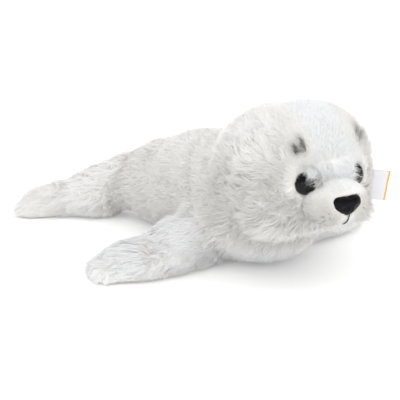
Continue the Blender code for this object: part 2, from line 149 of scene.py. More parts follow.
class NodeTree:
    """A node tree with short ways to add, set and link nodes."""

    def __init__(self, tree: bpy.types.NodeTree) -> None:
        self.tree = tree

    def socket(self, name: str, kind: str, way: str = "INPUT") -> object:
        """Declare an input or output of the tree itself."""
        kind = "NodeSocket" + kind
        return self.tree.interface.new_socket(name=name, in_out=way, socket_type=kind)

    def node(self, kind: str, feeds: dict | None = None, **settings: object) -> bpy.types.Node:
        """Add a node, set its properties and feed its inputs.

        Args:
            kind: The node's type name.
            feeds: Sockets or values for its inputs, by name or number.
            settings: Properties to set on it first.

        Returns:
            The new node.
        """
        made = self.tree.nodes.new(kind)
        for name, value in settings.items():
            setattr(made, name, value)
        for name, value in (feeds or {}).items():
            self.feed(made.inputs[name], value)
        return made

    def feed(self, target: Socket, value: object) -> None:
        """Link a socket to the target, or set it as the target's value."""
        if isinstance(value, Socket):
            self.tree.links.new(value, target)
        else:
            target.default_value = value

    def calc(self, operation: str, *values: object) -> Socket:
        """A Math node's result for these values or sockets."""
        return self.node("ShaderNodeMath", dict(enumerate(values)), operation=operation).outputs[0]

    def vector(self, operation: str, *values: object) -> Socket:
        """A Vector Math node's result for these vectors or sockets."""
        made = self.node("ShaderNodeVectorMath", dict(enumerate(values)), operation=operation)
        return made.outputs["Value" if operation == "DOT_PRODUCT" else "Vector"]

    def scaled(self, vector: object, by: object) -> Socket:
        """The vector times a number."""
        feeds = {0: vector, "Scale": by}
        return self.node("ShaderNodeVectorMath", feeds, operation="SCALE").outputs["Vector"]

    def total(self, *vectors: object) -> Socket:
        """The sum of several vectors."""
        result = vectors[0]
        for other in vectors[1:]:
            result = self.vector("ADD", result, other)
        return result

    def parted(self, vector: object) -> object:
        """The parts of a vector, as sockets X, Y and Z."""
        return self.node("ShaderNodeSeparateXYZ", {0: vector}).outputs

    def joined(self, **parts: object) -> Socket:
        """A vector of the parts X, Y and Z."""
        return self.node("ShaderNodeCombineXYZ", parts).outputs[0]


class StrandTree(NodeTree):
    """The Geometry Nodes tree that grows tapered strands from a skin.

    The skin carries five point attributes: pile_flow, the way that the tips lie,
    pile_length in metres, pile_tone, the colour as a share, pile_cover, the share
    of the full density, and pile_stand, how far the strands stand up, as a share.
    """

    SIZES = {
        "Strands": 2.5e6,
        "Clumps": 4.0e4,
        "Width": 0.4 * MM,
        "Root lean": 0.9,
        "Tip lean": 1.4,
        "Scatter": 0.25,
        "Clump pull": 0.35,
        "Clump scatter": 0.3,
        "Swirl": 0.3,
        "Roll": 0.8,
        "Tone spread": 0.06,
        "Floor": 0.4 * MM,
    }
    TAPER = 0.6
    LENGTHS = (0.7, 1.15)
    SWIRL_GAIN = 4.0
    TIP_STAND = 0.25
    FACING = -0.45
    TONE_ACROSS = 0.012
    TONE_ENDS = (0.01, 0.99)
    MAP_ALONG = (0.96, 0.02)

    def __init__(self) -> None:
        super().__init__(bpy.data.node_groups.new("Grow strands", "GeometryNodeTree"))
        self.socket("Skin", "Geometry")
        self.sockets: dict[str, str] = {}
        for name, value in self.SIZES.items():
            made = self.socket(name, "Float")
            made.default_value = value
            self.sockets[name] = made.identifier
        for name, kind in (("Seed", "Int"), ("Finish", "Material")):
            self.sockets[name] = self.socket(name, kind).identifier
        self.socket("Pile", "Geometry", "OUTPUT")
        self.size = self.node("NodeGroupInput").outputs
        self.node("NodeGroupOutput", {"Pile": self._dressed(self._grown(self._laid()))})

    def _named(self, name: str, kind: str = "FLOAT_VECTOR") -> Socket:
        """A named attribute as a field."""
        made = self.node("GeometryNodeInputNamedAttribute", {"Name": name}, data_type=kind)
        return made.outputs["Attribute"]

    def _store(
        self,
        geometry: Socket,
        name: str,
        value: object,
        kind: str = "FLOAT_VECTOR",
        domain: str = "POINT",
    ) -> Socket:
        """Store a field under a name and return the geometry."""
        feeds = {"Geometry": geometry, "Name": name, "Value": value}
        made = self.node("GeometryNodeStoreNamedAttribute", feeds, data_type=kind, domain=domain)
        return made.outputs["Geometry"]

    def _position(self) -> Socket:
        """Where each point lies."""
        return self.node("GeometryNodeInputPosition").outputs[0]

    def _seed(self, offset: int) -> Socket:
        """The tree's seed plus an offset."""
        return self.calc("ADD", self.size["Seed"], offset)

    def _chance(self, low: object, high: object, **feeds: object) -> Socket:
        """A random number for each strand, or for each ID."""
        feeds = {2: low, 3: high, **feeds}
        return self.node("FunctionNodeRandomValue", feeds, data_type="FLOAT").outputs[1]

    def _either_way(self, most: Socket, offset: int) -> Socket:
        """A random number for each strand, from minus to plus the most."""
        return self._chance(self.calc("MULTIPLY", most, -1.0), most, Seed=self._seed(offset))

    def _chance_vector(self, **feeds: object) -> Socket:
        """A random vector for each strand or ID, each part from -1 to 1."""
        feeds = {0: (-1.0, -1.0, -1.0), 1: WHITE, **feeds}
        return self.node("FunctionNodeRandomValue", feeds, data_type="FLOAT_VECTOR").outputs[0]

    def _spread(self, density: object, offset: int) -> object:
        """Points spread over the skin by its cover, as the node's outputs."""
        dense = self.calc("MULTIPLY", density, self._named("pile_cover", "FLOAT"))
        feeds = {"Mesh": self.size["Skin"], "Density": dense, "Seed": self._seed(offset)}
        return self.node("GeometryNodeDistributePointsOnFaces", feeds).outputs

    def _leaning(self, up: object, flow: object, lean: object) -> Socket:
        """A direction that leans from up towards the flow by an angle."""
        along = self.scaled(flow, self.calc("SINE", lean))
        return self.vector("ADD", along, self.scaled(up, self.calc("COSINE", lean)))

    def _level(self, vector: object, up: object) -> Socket:
        """The part of a vector that lies in the skin."""
        outward = self.scaled(up, self.vector("DOT_PRODUCT", vector, up))
        return self.vector("SUBTRACT", vector, outward)

    def _astray(self, position: Socket, clump: Socket) -> Socket:
        """How far a strand strays with its clump and with the pile's soft waves."""
        feeds = {"Vector": position, "Scale": SWIRLS_PER_METRE, "Detail": 1.0}
        wave = self.node("ShaderNodeTexNoise", feeds).outputs["Color"]
        swirl = self.vector("SUBTRACT", wave, (0.5, 0.5, 0.5))
        gain = self.calc("MULTIPLY", self.size["Swirl"], self.SWIRL_GAIN)
        with_clump = self.scaled(self._chance_vector(ID=clump), self.size["Clump scatter"])
        return self.total(with_clump, self.scaled(swirl, gain))

    def _laid(self) -> Socket:
        """Spread points over the skin and keep each strand's course on them."""
        size = self.size
        points = self._spread(size["Strands"], 0)
        up, position = points["Normal"], self._position()
        flow = self.vector("NORMALIZE", self._level(self._named("pile_flow"), up))

        clumps = self._spread(size["Clumps"], 1)["Points"]
        feeds = {"Geometry": clumps, "Sample Position": position}
        clump = self.node("GeometryNodeSampleNearest", feeds, domain="POINT").outputs["Index"]
        feeds = {"Geometry": clumps, "Value": position, "Index": clump}
        kind = {"data_type": "FLOAT_VECTOR", "domain": "POINT"}
        centre = self.node("GeometryNodeSampleIndex", feeds, **kind).outputs["Value"]
        to_centre = self.vector("SUBTRACT", centre, position)
        own_way = self.scaled(self._chance_vector(Seed=self._seed(2)), size["Scatter"])
        scatter = self.total(own_way, self._level(self._astray(position, clump), up))

        stand = self._named("pile_stand", "FLOAT")
        root_lean = self.calc("MULTIPLY", size["Root lean"], self.calc("SUBTRACT", 1.0, stand))
        tip_share = self.calc("SUBTRACT", 1.0, self.calc("MULTIPLY", stand, self.TIP_STAND))
        tip_lean = self.calc("MULTIPLY", size["Tip lean"], tip_share)
        share = self._chance(*self.LENGTHS, Seed=self._seed(3))
        length = self.calc("MULTIPLY", self._named("pile_length", "FLOAT"), share)
        half = self.calc("MULTIPLY", length, 0.5)
        bend, reach = [
            self.scaled(self.vector("ADD", self._leaning(up, flow, lean), scatter), half)
            for lean in (root_lean, tip_lean)
        ]
        tip = self.total(bend, reach, self.scaled(to_centre, size["Clump pull"]))
        axis = self.vector("NORMALIZE", tip)
        side = self.vector("NORMALIZE", self.vector("CROSS_PRODUCT", axis, up))
        over = self.vector("CROSS_PRODUCT", side, axis)
        rolled = self._leaning(side, over, self._either_way(size["Roll"], 4))

        by_clump = self.calc("MULTIPLY", self._chance(-1.0, 1.0, ID=clump), size["Tone spread"])
        spread = self.calc("ADD", self._either_way(size["Tone spread"], 5), by_clump)
        tone = self.calc("ADD", self._named("pile_tone", "FLOAT"), spread)
        tone = self.calc("MAXIMUM", tone, self.TONE_ENDS[0])
        tone = self.calc("MINIMUM", tone, self.TONE_ENDS[1])

        course = {"root": position, "up": up, "bend": bend, "tip": tip, "side": rolled}
        kept = points["Points"]
        for name, value in course.items():
            kept = self._store(kept, "strand_" + name, value)
        return self._store(kept, "strand_tone", tone, "FLOAT")

    def _template(self) -> Socket:
        """One flat strand, two faces long, that tapers to a point."""
        grid = self.node("GeometryNodeMeshGrid", {"Vertices X": 2, "Vertices Y": 3})
        place = self.parted(self._position())
        along = self.calc("ADD", place["Y"], 0.5)
        taper = self.calc("POWER", self.calc("SUBTRACT", 1.0, along), self.TAPER)
        shape = self.joined(X=self.calc("MULTIPLY", place["X"], taper), Y=along)
        feeds = {"Geometry": grid.outputs["Mesh"], "Position": shape}
        moved = self.node("GeometryNodeSetPosition", feeds).outputs[0]
        merged = self.node("GeometryNodeMergeByDistance", {"Geometry": moved}).outputs[0]
        return self._store(merged, "strand_shape", self._position())

    def _grown(self, kept: Socket) -> Socket:
        """Set a strand on each point and bend it along its course."""
        feeds = {"Points": kept, "Instance": self._template()}
        copies = self.node("GeometryNodeInstanceOnPoints", feeds).outputs["Instances"]
        real = self.node("GeometryNodeRealizeInstances", {"Geometry": copies}).outputs[0]
        shape = self.parted(self._named("strand_shape"))
        along = shape["Y"]
        square = self.calc("MULTIPLY", along, along)
        halfway = self.calc("MULTIPLY", self.calc("SUBTRACT", along, square), 2.0)
        half_width = self.calc("MULTIPLY", shape["X"], self.size["Width"])
        course = self.total(
            self._named("strand_root"),
            self.scaled(self._named("strand_bend"), halfway),
            self.scaled(self._named("strand_tip"), square),
            self.scaled(self._named("strand_side"), half_width),
        )
        place = self.parted(course)
        height = self.calc("MAXIMUM", place["Z"], self.size["Floor"])
        feeds = {"Geometry": real, "Position": self.joined(X=place["X"], Y=place["Y"], Z=height)}
        return self.node("GeometryNodeSetPosition", feeds).outputs["Geometry"]

    def _dressed(self, grown: Socket) -> Socket:
        """Soften the strands' normals, map them for the bake and set their finish."""
        facing = self.vector("CROSS_PRODUCT", self._named("strand_tip"), self._named("strand_side"))
        facing = self.scaled(self.vector("NORMALIZE", facing), self.FACING)
        soft = self.vector("NORMALIZE", self.vector("ADD", facing, self._named("strand_up")))
        feeds = {"Mesh": grown, "Custom Normal": soft}
        lit = self.node("GeometryNodeSetMeshNormal", feeds, mode="FREE", domain="POINT")
        shape = self.parted(self._named("strand_shape"))
        run, start = self.MAP_ALONG
        along = self.calc("ADD", self.calc("MULTIPLY", shape["Y"], run), start)
        across = self.calc("MULTIPLY", shape["X"], self.TONE_ACROSS)
        tone = self.calc("ADD", self._named("strand_tone", "FLOAT"), across)
        flat = self.joined(X=along, Y=tone)
        mapped = self._store(lit.outputs["Mesh"], BAKE_MAP, flat, "FLOAT2", "CORNER")
        feeds = {"Geometry": mapped, "Name": "strand_*"}
        clean = self.node("GeometryNodeRemoveAttribute", feeds, pattern_mode="WILDCARD")
        feeds = {"Geometry": clean.outputs["Geometry"], "Material": self.size["Finish"]}
        return self.node("GeometryNodeSetMaterial", feeds).outputs["Geometry"]


class GrainGroup(NodeTree):
    """A shader group that gives an even, fine grain in the piece's own space."""

    def __init__(self) -> None:
        super().__init__(bpy.data.node_groups.new("Fine grain", "ShaderNodeTree"))
        self.socket("Scale", "Float")
        self.socket("Detail", "Float")
        self.socket("Grain", "Float", "OUTPUT")
        size = self.node("NodeGroupInput").outputs
        place = self.node("ShaderNodeTexCoord").outputs["Object"]
        feeds = {"Vector": place, "Scale": size["Scale"], "Detail": size["Detail"]}
        noise = self.node("ShaderNodeTexNoise", feeds).outputs["Fac"]
        self.node("NodeGroupOutput", {"Grain": noise})


class Surface(NodeTree):
    """A material with a Principled shader and room for a pattern."""

    def __init__(self, name: str, **constants: float) -> None:
        self.material = bpy.data.materials.new(name)
        self.material.use_nodes = True
        super().__init__(self.material.node_tree)
        self.shader = self.tree.nodes["Principled BSDF"].inputs
        for socket, value in constants.items():
            self.shader[socket.replace("_", " ")].default_value = value

    def paint(self, colour: Socket) -> None:
        """Feed the shader's base colour."""
        self.feed(self.shader["Base Color"], colour)

    def ramp(self, share: object, *stops: tuple[float, Colour]) -> Socket:
        """A colour ramp over a share.

        Args:
            share: The socket that gives the place on the ramp.
            stops: Pairs of a place and a colour.

        Returns:
            The ramp's colour.
        """
        made = self.node("ShaderNodeValToRGB", {"Fac": share})
        band = made.color_ramp
        while len(band.elements) < len(stops):
            band.elements.new(0.5)
        for element, (place, colour) in zip(band.elements, stops):
            element.position = place
            element.color = (*colour, 1.0)
        return made.outputs["Color"]

    def blend(self, factor: object, first: Socket, second: object, kind: str = "MIX") -> Socket:
        """Two colours mixed in the way that the kind names."""
        feeds = {"Factor": factor, "A": first, "B": second}
        made = self.node("ShaderNodeMix", feeds, data_type="RGBA", blend_type=kind)
        return made.outputs["Result"]

    def bump(self, height: object, distance: float, strength: float = 1.0) -> None:
        """Feed a height into the shader's normal."""
        feeds = {"Height": height, "Distance": distance, "Strength": strength}
        self.feed(self.shader["Normal"], self.node("ShaderNodeBump", feeds).outputs["Normal"])


@dataclass(frozen=True)
class PileFinish:
    """White acrylic pile, from cool white over warm grey to airbrushed black.

    The bake map gives the place: U along the strand, V its tone; the roots carry painted shade.
    """

    cool_white: Colour = (0.955, 0.965, 0.985)
    soft_white: Colour = (0.933, 0.927, 0.911)
    warm_grey: Colour = (0.757, 0.742, 0.717)
    airbrush: Colour = (0.05, 0.05, 0.052)
    # Painted shade: the colour at the strands' roots, where the pile shades itself.
    root_painted_shade: Colour = (0.95, 0.94, 0.92)
    roughness: float = 0.9
    sheen: float = 0.15

    def material(self, grain: GrainGroup) -> bpy.types.Material:
        """Build the strands' material."""
        surface = Surface("white pile", Roughness=self.roughness, Sheen_Weight=self.sheen)
        source = surface.node("ShaderNodeUVMap", uv_map=BAKE_MAP)
        place = surface.parted(source.outputs["UV"])
        tint = surface.ramp(
            place["Y"],
            (0.0, self.cool_white),
            (0.4, self.soft_white),
            (0.78, self.warm_grey),
            (0.92, self.warm_grey),
            (1.0, self.airbrush),
        )
        # Painted shade towards the roots, multiplied into the tone's colour.
        shade = surface.ramp(place["X"], (0.0, self.root_painted_shade), (0.55, WHITE))
        surface.paint(surface.blend(1.0, tint, shade, "MULTIPLY"))
        return surface.material


@dataclass(frozen=True)
class GrainFinish:
    """A finish whose colour and relief follow the shared fine grain.

    Attributes:
        name: The material's name.
        low: The colour where the grain is low.
        high: The colour where it is high.
        span: The grain's values between which the colour goes over.
        scale: The grain's scale for each metre.
        roughness: The shader's roughness.
        detail: The grain's detail.
        relief: The bump's height in metres, or none.
        strength: The bump's strength.
        specular: The shader's specular level.
    """

    name: str
    low: Colour
    high: Colour
    span: tuple[float, float]
    scale: float
    roughness: float
    detail: float = 3.0
    relief: float = 0.0
    strength: float = 1.0
    specular: float = 0.5

    def material(self, grain: GrainGroup) -> bpy.types.Material:
        """Build the material round the shared grain."""
        constants = {"Roughness": self.roughness, "Specular IOR Level": self.specular}
        surface = Surface(self.name, **constants)
        feeds = {"Scale": self.scale, "Detail": self.detail}
        height = surface.node("ShaderNodeGroup", feeds, node_tree=grain.tree).outputs["Grain"]
        surface.paint(surface.ramp(height, (self.span[0], self.low), (self.span[1], self.high)))
        if self.relief:
            surface.bump(height, self.relief, self.strength)
        return surface.material


@dataclass(frozen=True)
class EyeFinish:
    """Polished black plastic with a dark brown rim, which rim_share tells."""

    black: Colour = (0.006, 0.006, 0.007)
    rim: Colour = (0.040, 0.020, 0.012)
    rim_start: float = 0.88
    roughness: float = 0.06
    specular: float = 0.2

    def material(self, grain: GrainGroup) -> bpy.types.Material:
        """Build the eye's material."""
        constants = {"Roughness": self.roughness, "Specular IOR Level": self.specular, "IOR": 1.49}
        surface = Surface("polished black plastic", **constants)
        share = surface.node("ShaderNodeAttribute", attribute_name="rim_share").outputs["Fac"]
        surface.paint(surface.ramp(share, (self.rim_start, self.black), (1.0, self.rim)))
        return surface.material


@dataclass(frozen=True)
class YarnFinish:
    """Thread or cloth whose colour and relief follow its yarns.

    Attributes:
        name: The material's name.
        low: The colour between the yarns.
        high: The colour on them.
        span: The wave's values between which the colour goes over.
        yarns_per_metre: How closely they lie.
        direction: The way in which the wave's bands follow each other.
        distortion: How uneven they are.
        roughness: The shader's roughness.
        relief: The bump's height in metres.
    """

    name: str
    low: Colour
    high: Colour
    span: tuple[float, float]
    yarns_per_metre: float
    direction: str
    distortion: float
    roughness: float
    relief: float

    def tint(self, surface: Surface, woven: Socket) -> Socket:
        """The finished colour, here that of the yarns."""
        return woven

    def material(self, grain: GrainGroup) -> bpy.types.Material:
        """Build the material round its wave."""
        surface = Surface(self.name, Roughness=self.roughness)
        feeds = {
            "Vector": surface.node("ShaderNodeTexCoord").outputs["Object"],
            "Scale": self.yarns_per_metre / (2 * math.pi),
            "Distortion": self.distortion,
        }
        kind = {"wave_type": "BANDS", "bands_direction": self.direction}
        wave = surface.node("ShaderNodeTexWave", feeds, **kind).outputs["Fac"]
        woven = surface.ramp(wave, (self.span[0], self.low), (self.span[1], self.high))
        surface.paint(self.tint(surface, woven))
        surface.bump(wave, self.relief)
        return surface.material


@dataclass(frozen=True)
class SatinFinish(YarnFinish):
    """Satin ribbon whose outer fold is dyed orange, as far as label_reach tells."""

    edge: Colour = (0.86, 0.42, 0.07)
    edge_width: float = 1.9

    def tint(self, surface: Surface, woven: Socket) -> Socket:
        """The yarns' colour, dyed along the fold."""
        reach = surface.node("ShaderNodeAttribute", attribute_name="label_reach").outputs["Fac"]
        dyed = surface.calc("LESS_THAN", reach, self.edge_width)
        return surface.blend(dyed, woven, (*self.edge, 1.0))


BACKING = GrainFinish(
    name="knitted backing",
    low=(0.85, 0.83, 0.79),
    high=(0.93, 0.915, 0.88),
    span=(0.35, 0.65),
    scale=900.0,
    roughness=0.95,
    relief=0.4 * MM,
)
MOULDED = GrainFinish(
    name="moulded black plastic",
    low=(0.003, 0.003, 0.0035),
    high=(0.010, 0.0095, 0.011),
    span=(0.35, 0.75),
    scale=900.0,
    roughness=0.42,
    detail=2.0,
    relief=0.25 * MM,
    strength=0.8,
    specular=0.11,
)
NYLON = GrainFinish(
    name="natural nylon",
    low=(0.64, 0.64, 0.61),
    high=(0.72, 0.72, 0.70),
    span=(0.3, 0.7),
    scale=180.0,
    roughness=0.45,
)
THREAD = YarnFinish(
    name="dark thread",
    low=(0.035, 0.03, 0.03),
    high=(0.09, 0.08, 0.075),
    span=(0.2, 0.8),
    yarns_per_metre=900.0,
    direction="DIAGONAL",
    distortion=0.6,
    roughness=0.8,
    relief=0.15 * MM,
)
SATIN = SatinFinish(
    name="white satin",
    low=(0.74, 0.74, 0.77),
    high=(0.83, 0.83, 0.86),
    span=(0.2, 0.7),
    yarns_per_metre=4200.0,
    direction="Z",
    distortion=0.4,
    roughness=0.38,
    relief=0.05 * MM,
)


@dataclass
class Wardrobe:
    """The shared strand tree and every material of the seal."""

    strands: StrandTree
    pile: bpy.types.Material
    backing: bpy.types.Material
    eye: bpy.types.Material
    nose: bpy.types.Material
    nylon: bpy.types.Material
    thread: bpy.types.Material
    satin: bpy.types.Material

    @classmethod
    def made(cls) -> "Wardrobe":
        """Build them all."""
        grain = GrainGroup()
        finishes = (PileFinish(), BACKING, EyeFinish(), MOULDED, NYLON, THREAD, SATIN)
        return cls(StrandTree(), *[finish.material(grain) for finish in finishes])


@dataclass
class Coat:
    """What grows at each point of a skin, one row for each point.

    Tone, cover and stand are shares.
    """

    length: np.ndarray
    flow: np.ndarray
    tone: np.ndarray
    cover: np.ndarray
    stand: np.ndarray | float = 0.0


@dataclass(frozen=True)
class PilePart:
    """One piece of pile and how it grows.

    Attributes:
        per_mm2: Strands for each square millimetre.
        width: The strand's width at its root.
        clumps_per_cm2: Tufts for each square centimetre.
        pull: How far the tips of a tuft come together, as a share.
        scatter: How far a strand strays from the flow.
        clump_scatter: How far a tuft strays from it.
        swirl: How far the pile as a whole strays from it in soft waves.
        root_lean: How far its root leans from upright, in degrees.
        tip_lean: The same for its tip.
        tone_spread: How much the colour differs between strands and tufts.
        name: The piece's name.
        seed: The seed of its random numbers.
    """

    per_mm2: float
    width: float
    clumps_per_cm2: float
    pull: float
    scatter: float
    clump_scatter: float
    swirl: float
    root_lean: float
    tip_lean: float
    tone_spread: float
    name: str = ""
    seed: int = 1

    def settings(self, finish: bpy.types.Material) -> dict[str, object]:
        """The values of the strand tree's inputs."""
        share = 1.0
        return {
            "Strands": self.per_mm2 * 1e6 * share,
            "Clumps": self.clumps_per_cm2 * 1e4,
            "Width": self.width * MM / share ** 0.5,
            "Root lean": math.radians(self.root_lean),
            "Tip lean": math.radians(self.tip_lean),
            "Scatter": self.scatter,
            "Clump pull": self.pull,
            "Clump scatter": self.clump_scatter,
            "Swirl": self.swirl,
            "Tone spread": self.tone_spread,
            "Seed": self.seed,
            "Finish": finish,
        }


TUFTED = PilePart(
    per_mm2=2.9,
    width=0.38,
    clumps_per_cm2=6.0,
    pull=0.50,
    scatter=0.26,
    clump_scatter=0.62,
    swirl=0.60,
    root_lean=44,
    tip_lean=80,
    tone_spread=0.07,
)
MATTED = replace(
    TUFTED, per_mm2=2.6, clumps_per_cm2=14.0, pull=0.35, scatter=0.30, clump_scatter=0.50
)
SHORT = replace(
    TUFTED,
    per_mm2=4.4,
    width=0.31,
    clumps_per_cm2=10.0,
    pull=0.12,
    clump_scatter=0.08,
    swirl=0.15,
    tone_spread=0.03,
)
BROW = replace(TUFTED, per_mm2=12.0, width=0.34, clump_scatter=0.20, swirl=0.2)
TAIL = replace(TUFTED, swirl=0.35, root_lean=56, tip_lean=85)
PADDLE = PilePart(
    per_mm2=3.3,
    width=0.38,
    clumps_per_cm2=5.0,
    pull=0.40,
    scatter=0.18,
    clump_scatter=0.28,
    swirl=0.40,
    root_lean=62,
    tip_lean=87,
    tone_spread=0.05,
)
PAD = PilePart(
    per_mm2=7.0,
    width=0.26,
    clumps_per_cm2=16.0,
    pull=0.12,
    scatter=0.25,
    clump_scatter=0.12,
    swirl=0.2,
    root_lean=50,
    tip_lean=80,
    tone_spread=0.03,
)
BODY_PARTS = (
    replace(SHORT, name="crown_pile", seed=11),
    replace(TUFTED, name="head_pile_right", seed=12),
    replace(TUFTED, name="head_pile_left", seed=13),
    replace(MATTED, name="trunk_pile_right", seed=14),
    replace(MATTED, name="trunk_pile_left", seed=18),
    replace(TAIL, name="tail_pile", seed=15),
    replace(SHORT, name="belly_pile", per_mm2=3.0, width=0.36, seed=16),
    replace(BROW, name="brow_tufts", seed=17),
)


def link(name: str, mesh: bpy.types.Mesh) -> bpy.types.Object:
    """An object of this mesh in the scene."""
    made = bpy.data.objects.new(name, mesh)
    bpy.context.scene.collection.objects.link(made)
    return made


def finished(name: str, mesh: bpy.types.Mesh) -> bpy.types.Object:
    """A finished piece of this mesh, which rides on the root body."""
    piece = link(name, mesh)
    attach(piece, ROOT_BODY)
    LOG.info("%s: %d faces", name, len(mesh.polygons))
    return piece


def dress(mesh: bpy.types.Mesh, material: bpy.types.Material) -> None:
    """Give a mesh this material alone."""
    mesh.materials.clear()
    mesh.materials.append(material)


def mesh_of(shape: bmesh.types.BMesh, name: str) -> bpy.types.Mesh:
    """The mesh of a shape, which is used up."""
    mesh = bpy.data.meshes.new(name)
    shape.to_mesh(mesh)
    shape.free()
    return mesh


def even_form(node: str, facet: float, rounds: int) -> tuple[object, object]:
    """A CAD node's form with even faces, softened.

    Args:
        node: The node, of which a joined copy is taken.
        facet: The size of the faces.
        rounds: How often the form is smoothed.

    Returns:
        The object with its live modifiers, and the last of them.
    """
    shape = bmesh.new()
    shape.from_mesh(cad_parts[node].data)
    bmesh.ops.remove_doubles(shape, verts=shape.verts, dist=0.01 * MM)
    form = link(node + "_form", mesh_of(shape, node + "_copy"))
    even = form.modifiers.new("Even faces", "REMESH")
    even.mode = "VOXEL"
    even.voxel_size = facet * MM
    soften = form.modifiers.new("Soften", "SMOOTH")
    soften.iterations = rounds
    return form, soften


def worked_in(piece: bpy.types.Object) -> bpy.types.Mesh:
    """The piece's mesh with its modifiers applied."""
    bpy.context.view_layer.update()
    graph = bpy.context.evaluated_depsgraph_get()
    seen = piece.evaluated_get(graph)
    return bpy.data.meshes.new_from_object(seen, preserve_all_data_layers=True, depsgraph=graph)


def rows(collection: bpy.types.bpy_prop_collection, name: str) -> np.ndarray:
    """A vector property of every item, as rows."""
    found = np.empty(len(collection) * 3)
    collection.foreach_get(name, found)
    return found.reshape(-1, 3)


def move(mesh: bpy.types.Mesh, points: np.ndarray) -> None:
    """Put a mesh's points at these places, in metres."""
    mesh.vertices.foreach_set("co", points.astype(np.float32).ravel())
    mesh.update()


def fill(mesh: bpy.types.Mesh, name: str, values: np.ndarray) -> None:
    """Write a point attribute, as numbers or as vectors."""
    vectors = values.ndim == 2
    layer = mesh.attributes.get(name)
    if layer is None:
        layer = mesh.attributes.new(name, "FLOAT_VECTOR" if vectors else "FLOAT", "POINT")
    layer.data.foreach_set("vector" if vectors else "value", values.astype(np.float32).ravel())


def distance_to(node: str, points: np.ndarray) -> np.ndarray:
    """How far points lie from a CAD node's surface."""
    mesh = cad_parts[node].data
    corners = [vert.co for vert in mesh.vertices]
    tree = BVHTree.FromPolygons(corners, [tuple(face.vertices) for face in mesh.polygons])
    return np.array([tree.find_nearest(Vector(point) * MM)[3] for point in points]) / MM


@dataclass
class StuffedPiece:
    """A stuffed piece: its skin inside the solid, and the pile that grows on it.

    Attributes:
        node: The CAD node that it stands for.
        parts: The pieces of pile on it.
        neighbours: The CAD nodes that it meets.
        slot: The record's material slot; not used.
        facet: The skin's fineness.
        rounds: How often the skin is smoothed.
        fill_rounds: How often the form that fills its hollows is smoothed more.
        fullness: How tightly it is stuffed; not used.
        bare_below: The height below which nothing grows.
    """

    node: str
    parts: Sequence[PilePart]
    neighbours: Sequence[str]
    slot: Slot = Slot.LONG_PILE
    facet: float = 2.2
    rounds: int = 8
    fill_rounds: int = 200
    fullness: float = 0.9
    bare_below: float = 1.3

    def coat(self, points: np.ndarray, gaps: dict[str, np.ndarray]) -> Coat:
        """What grows where; each kind of piece has its own.

        Args:
            points: The skin's points.
            gaps: Their distances from each neighbour.

        Returns:
            The coat at each point.
        """
        raise NotImplementedError

    def shares(self, points: np.ndarray) -> dict[str, np.ndarray]:
        """The share of the cover that each piece of pile has, where it isn't all."""
        return {}

    def above_floor(self, points: np.ndarray) -> np.ndarray:
        """Full cover, but none where the piece lies on the floor."""
        return np.where(points[:, 2] < self.bare_below, 0.0, 1.0)

    def sculpt(self, points: np.ndarray) -> np.ndarray:
        """How far the skin is drawn in beside its pile."""
        return np.zeros(len(points))

    def filled(self, points: np.ndarray) -> np.ndarray:
        """The share of the fill that evens out hollows between bulges."""
        return np.zeros(len(points))

    def skin_mesh(self) -> bpy.types.Mesh:
        """An even, smooth copy of the solid's surface, its hollows filled where wanted."""
        form, soften = even_form(self.node, self.facet, self.rounds)
        mesh = worked_in(form)
        points, normals = rows(mesh.vertices, "co"), rows(mesh.vertex_normals, "vector")
        share = self.filled(points / MM)
        if share.any():
            soften.iterations += self.fill_rounds
            rounder = worked_in(form)
            rise = ((rows(rounder.vertices, "co") - points) * normals).sum(1)
            move(mesh, points + normals * (np.maximum(rise, 0.0) * share)[:, None])
        bpy.data.objects.remove(form)
        return mesh

    def make(self, wardrobe: Wardrobe) -> None:
        """Build the skin and grow its pile."""
        mesh = self.skin_mesh()
        points = rows(mesh.vertices, "co") / MM
        normals = rows(mesh.vertex_normals, "vector")
        gaps = {other: distance_to(other, points) for other in self.neighbours}
        gap = np.min(list(gaps.values()), axis=0)
        coat = self.coat(points, gaps)
        inward = coat.length * PILE_RISE * eased(*SEAM, gap) + self.sculpt(points)
        drawn = points - normals * inward[:, None]
        drawn[:, 2] = np.maximum(drawn[:, 2], SKIN_OFF_FLOOR)
        move(mesh, drawn * MM)
        mesh.shade_smooth()
        dress(mesh, wardrobe.backing)
        fill(mesh, "pile_flow", coat.flow)
        fill(mesh, "pile_length", coat.length * MM)
        fill(mesh, "pile_tone", coat.tone)
        fill(mesh, "pile_stand", coat.stand + np.zeros(len(points)))
        skin = finished(self.node + "_skin", mesh)
        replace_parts(skin, self.node)
        cover = coat.cover * eased(*BARE_SEAM, gap)
        shares = self.shares(points)
        for part in self.parts:
            fill(mesh, "pile_cover", cover * shares.get(part.name, 1.0))
            self.grow(part, mesh, wardrobe)

    def grow(self, part: PilePart, skin: bpy.types.Mesh, wardrobe: Wardrobe) -> None:
        """Grow one piece of pile from the skin."""
        carrier = link("carrier", skin.copy())
        grower = carrier.modifiers.new("Strands", "NODES")
        grower.node_group = wardrobe.strands.tree
        for name, value in part.settings(wardrobe.pile).items():
            grower[wardrobe.strands.sockets[name]] = value
        mesh = worked_in(carrier)
        bpy.data.objects.remove(carrier)
        finished(part.name, mesh)


@dataclass(frozen=True)
class EyeTufts:
    """The tufts beside an eye: which way from it they grow, and how long they are."""

    upward: float
    inward: float
    extra_length: float


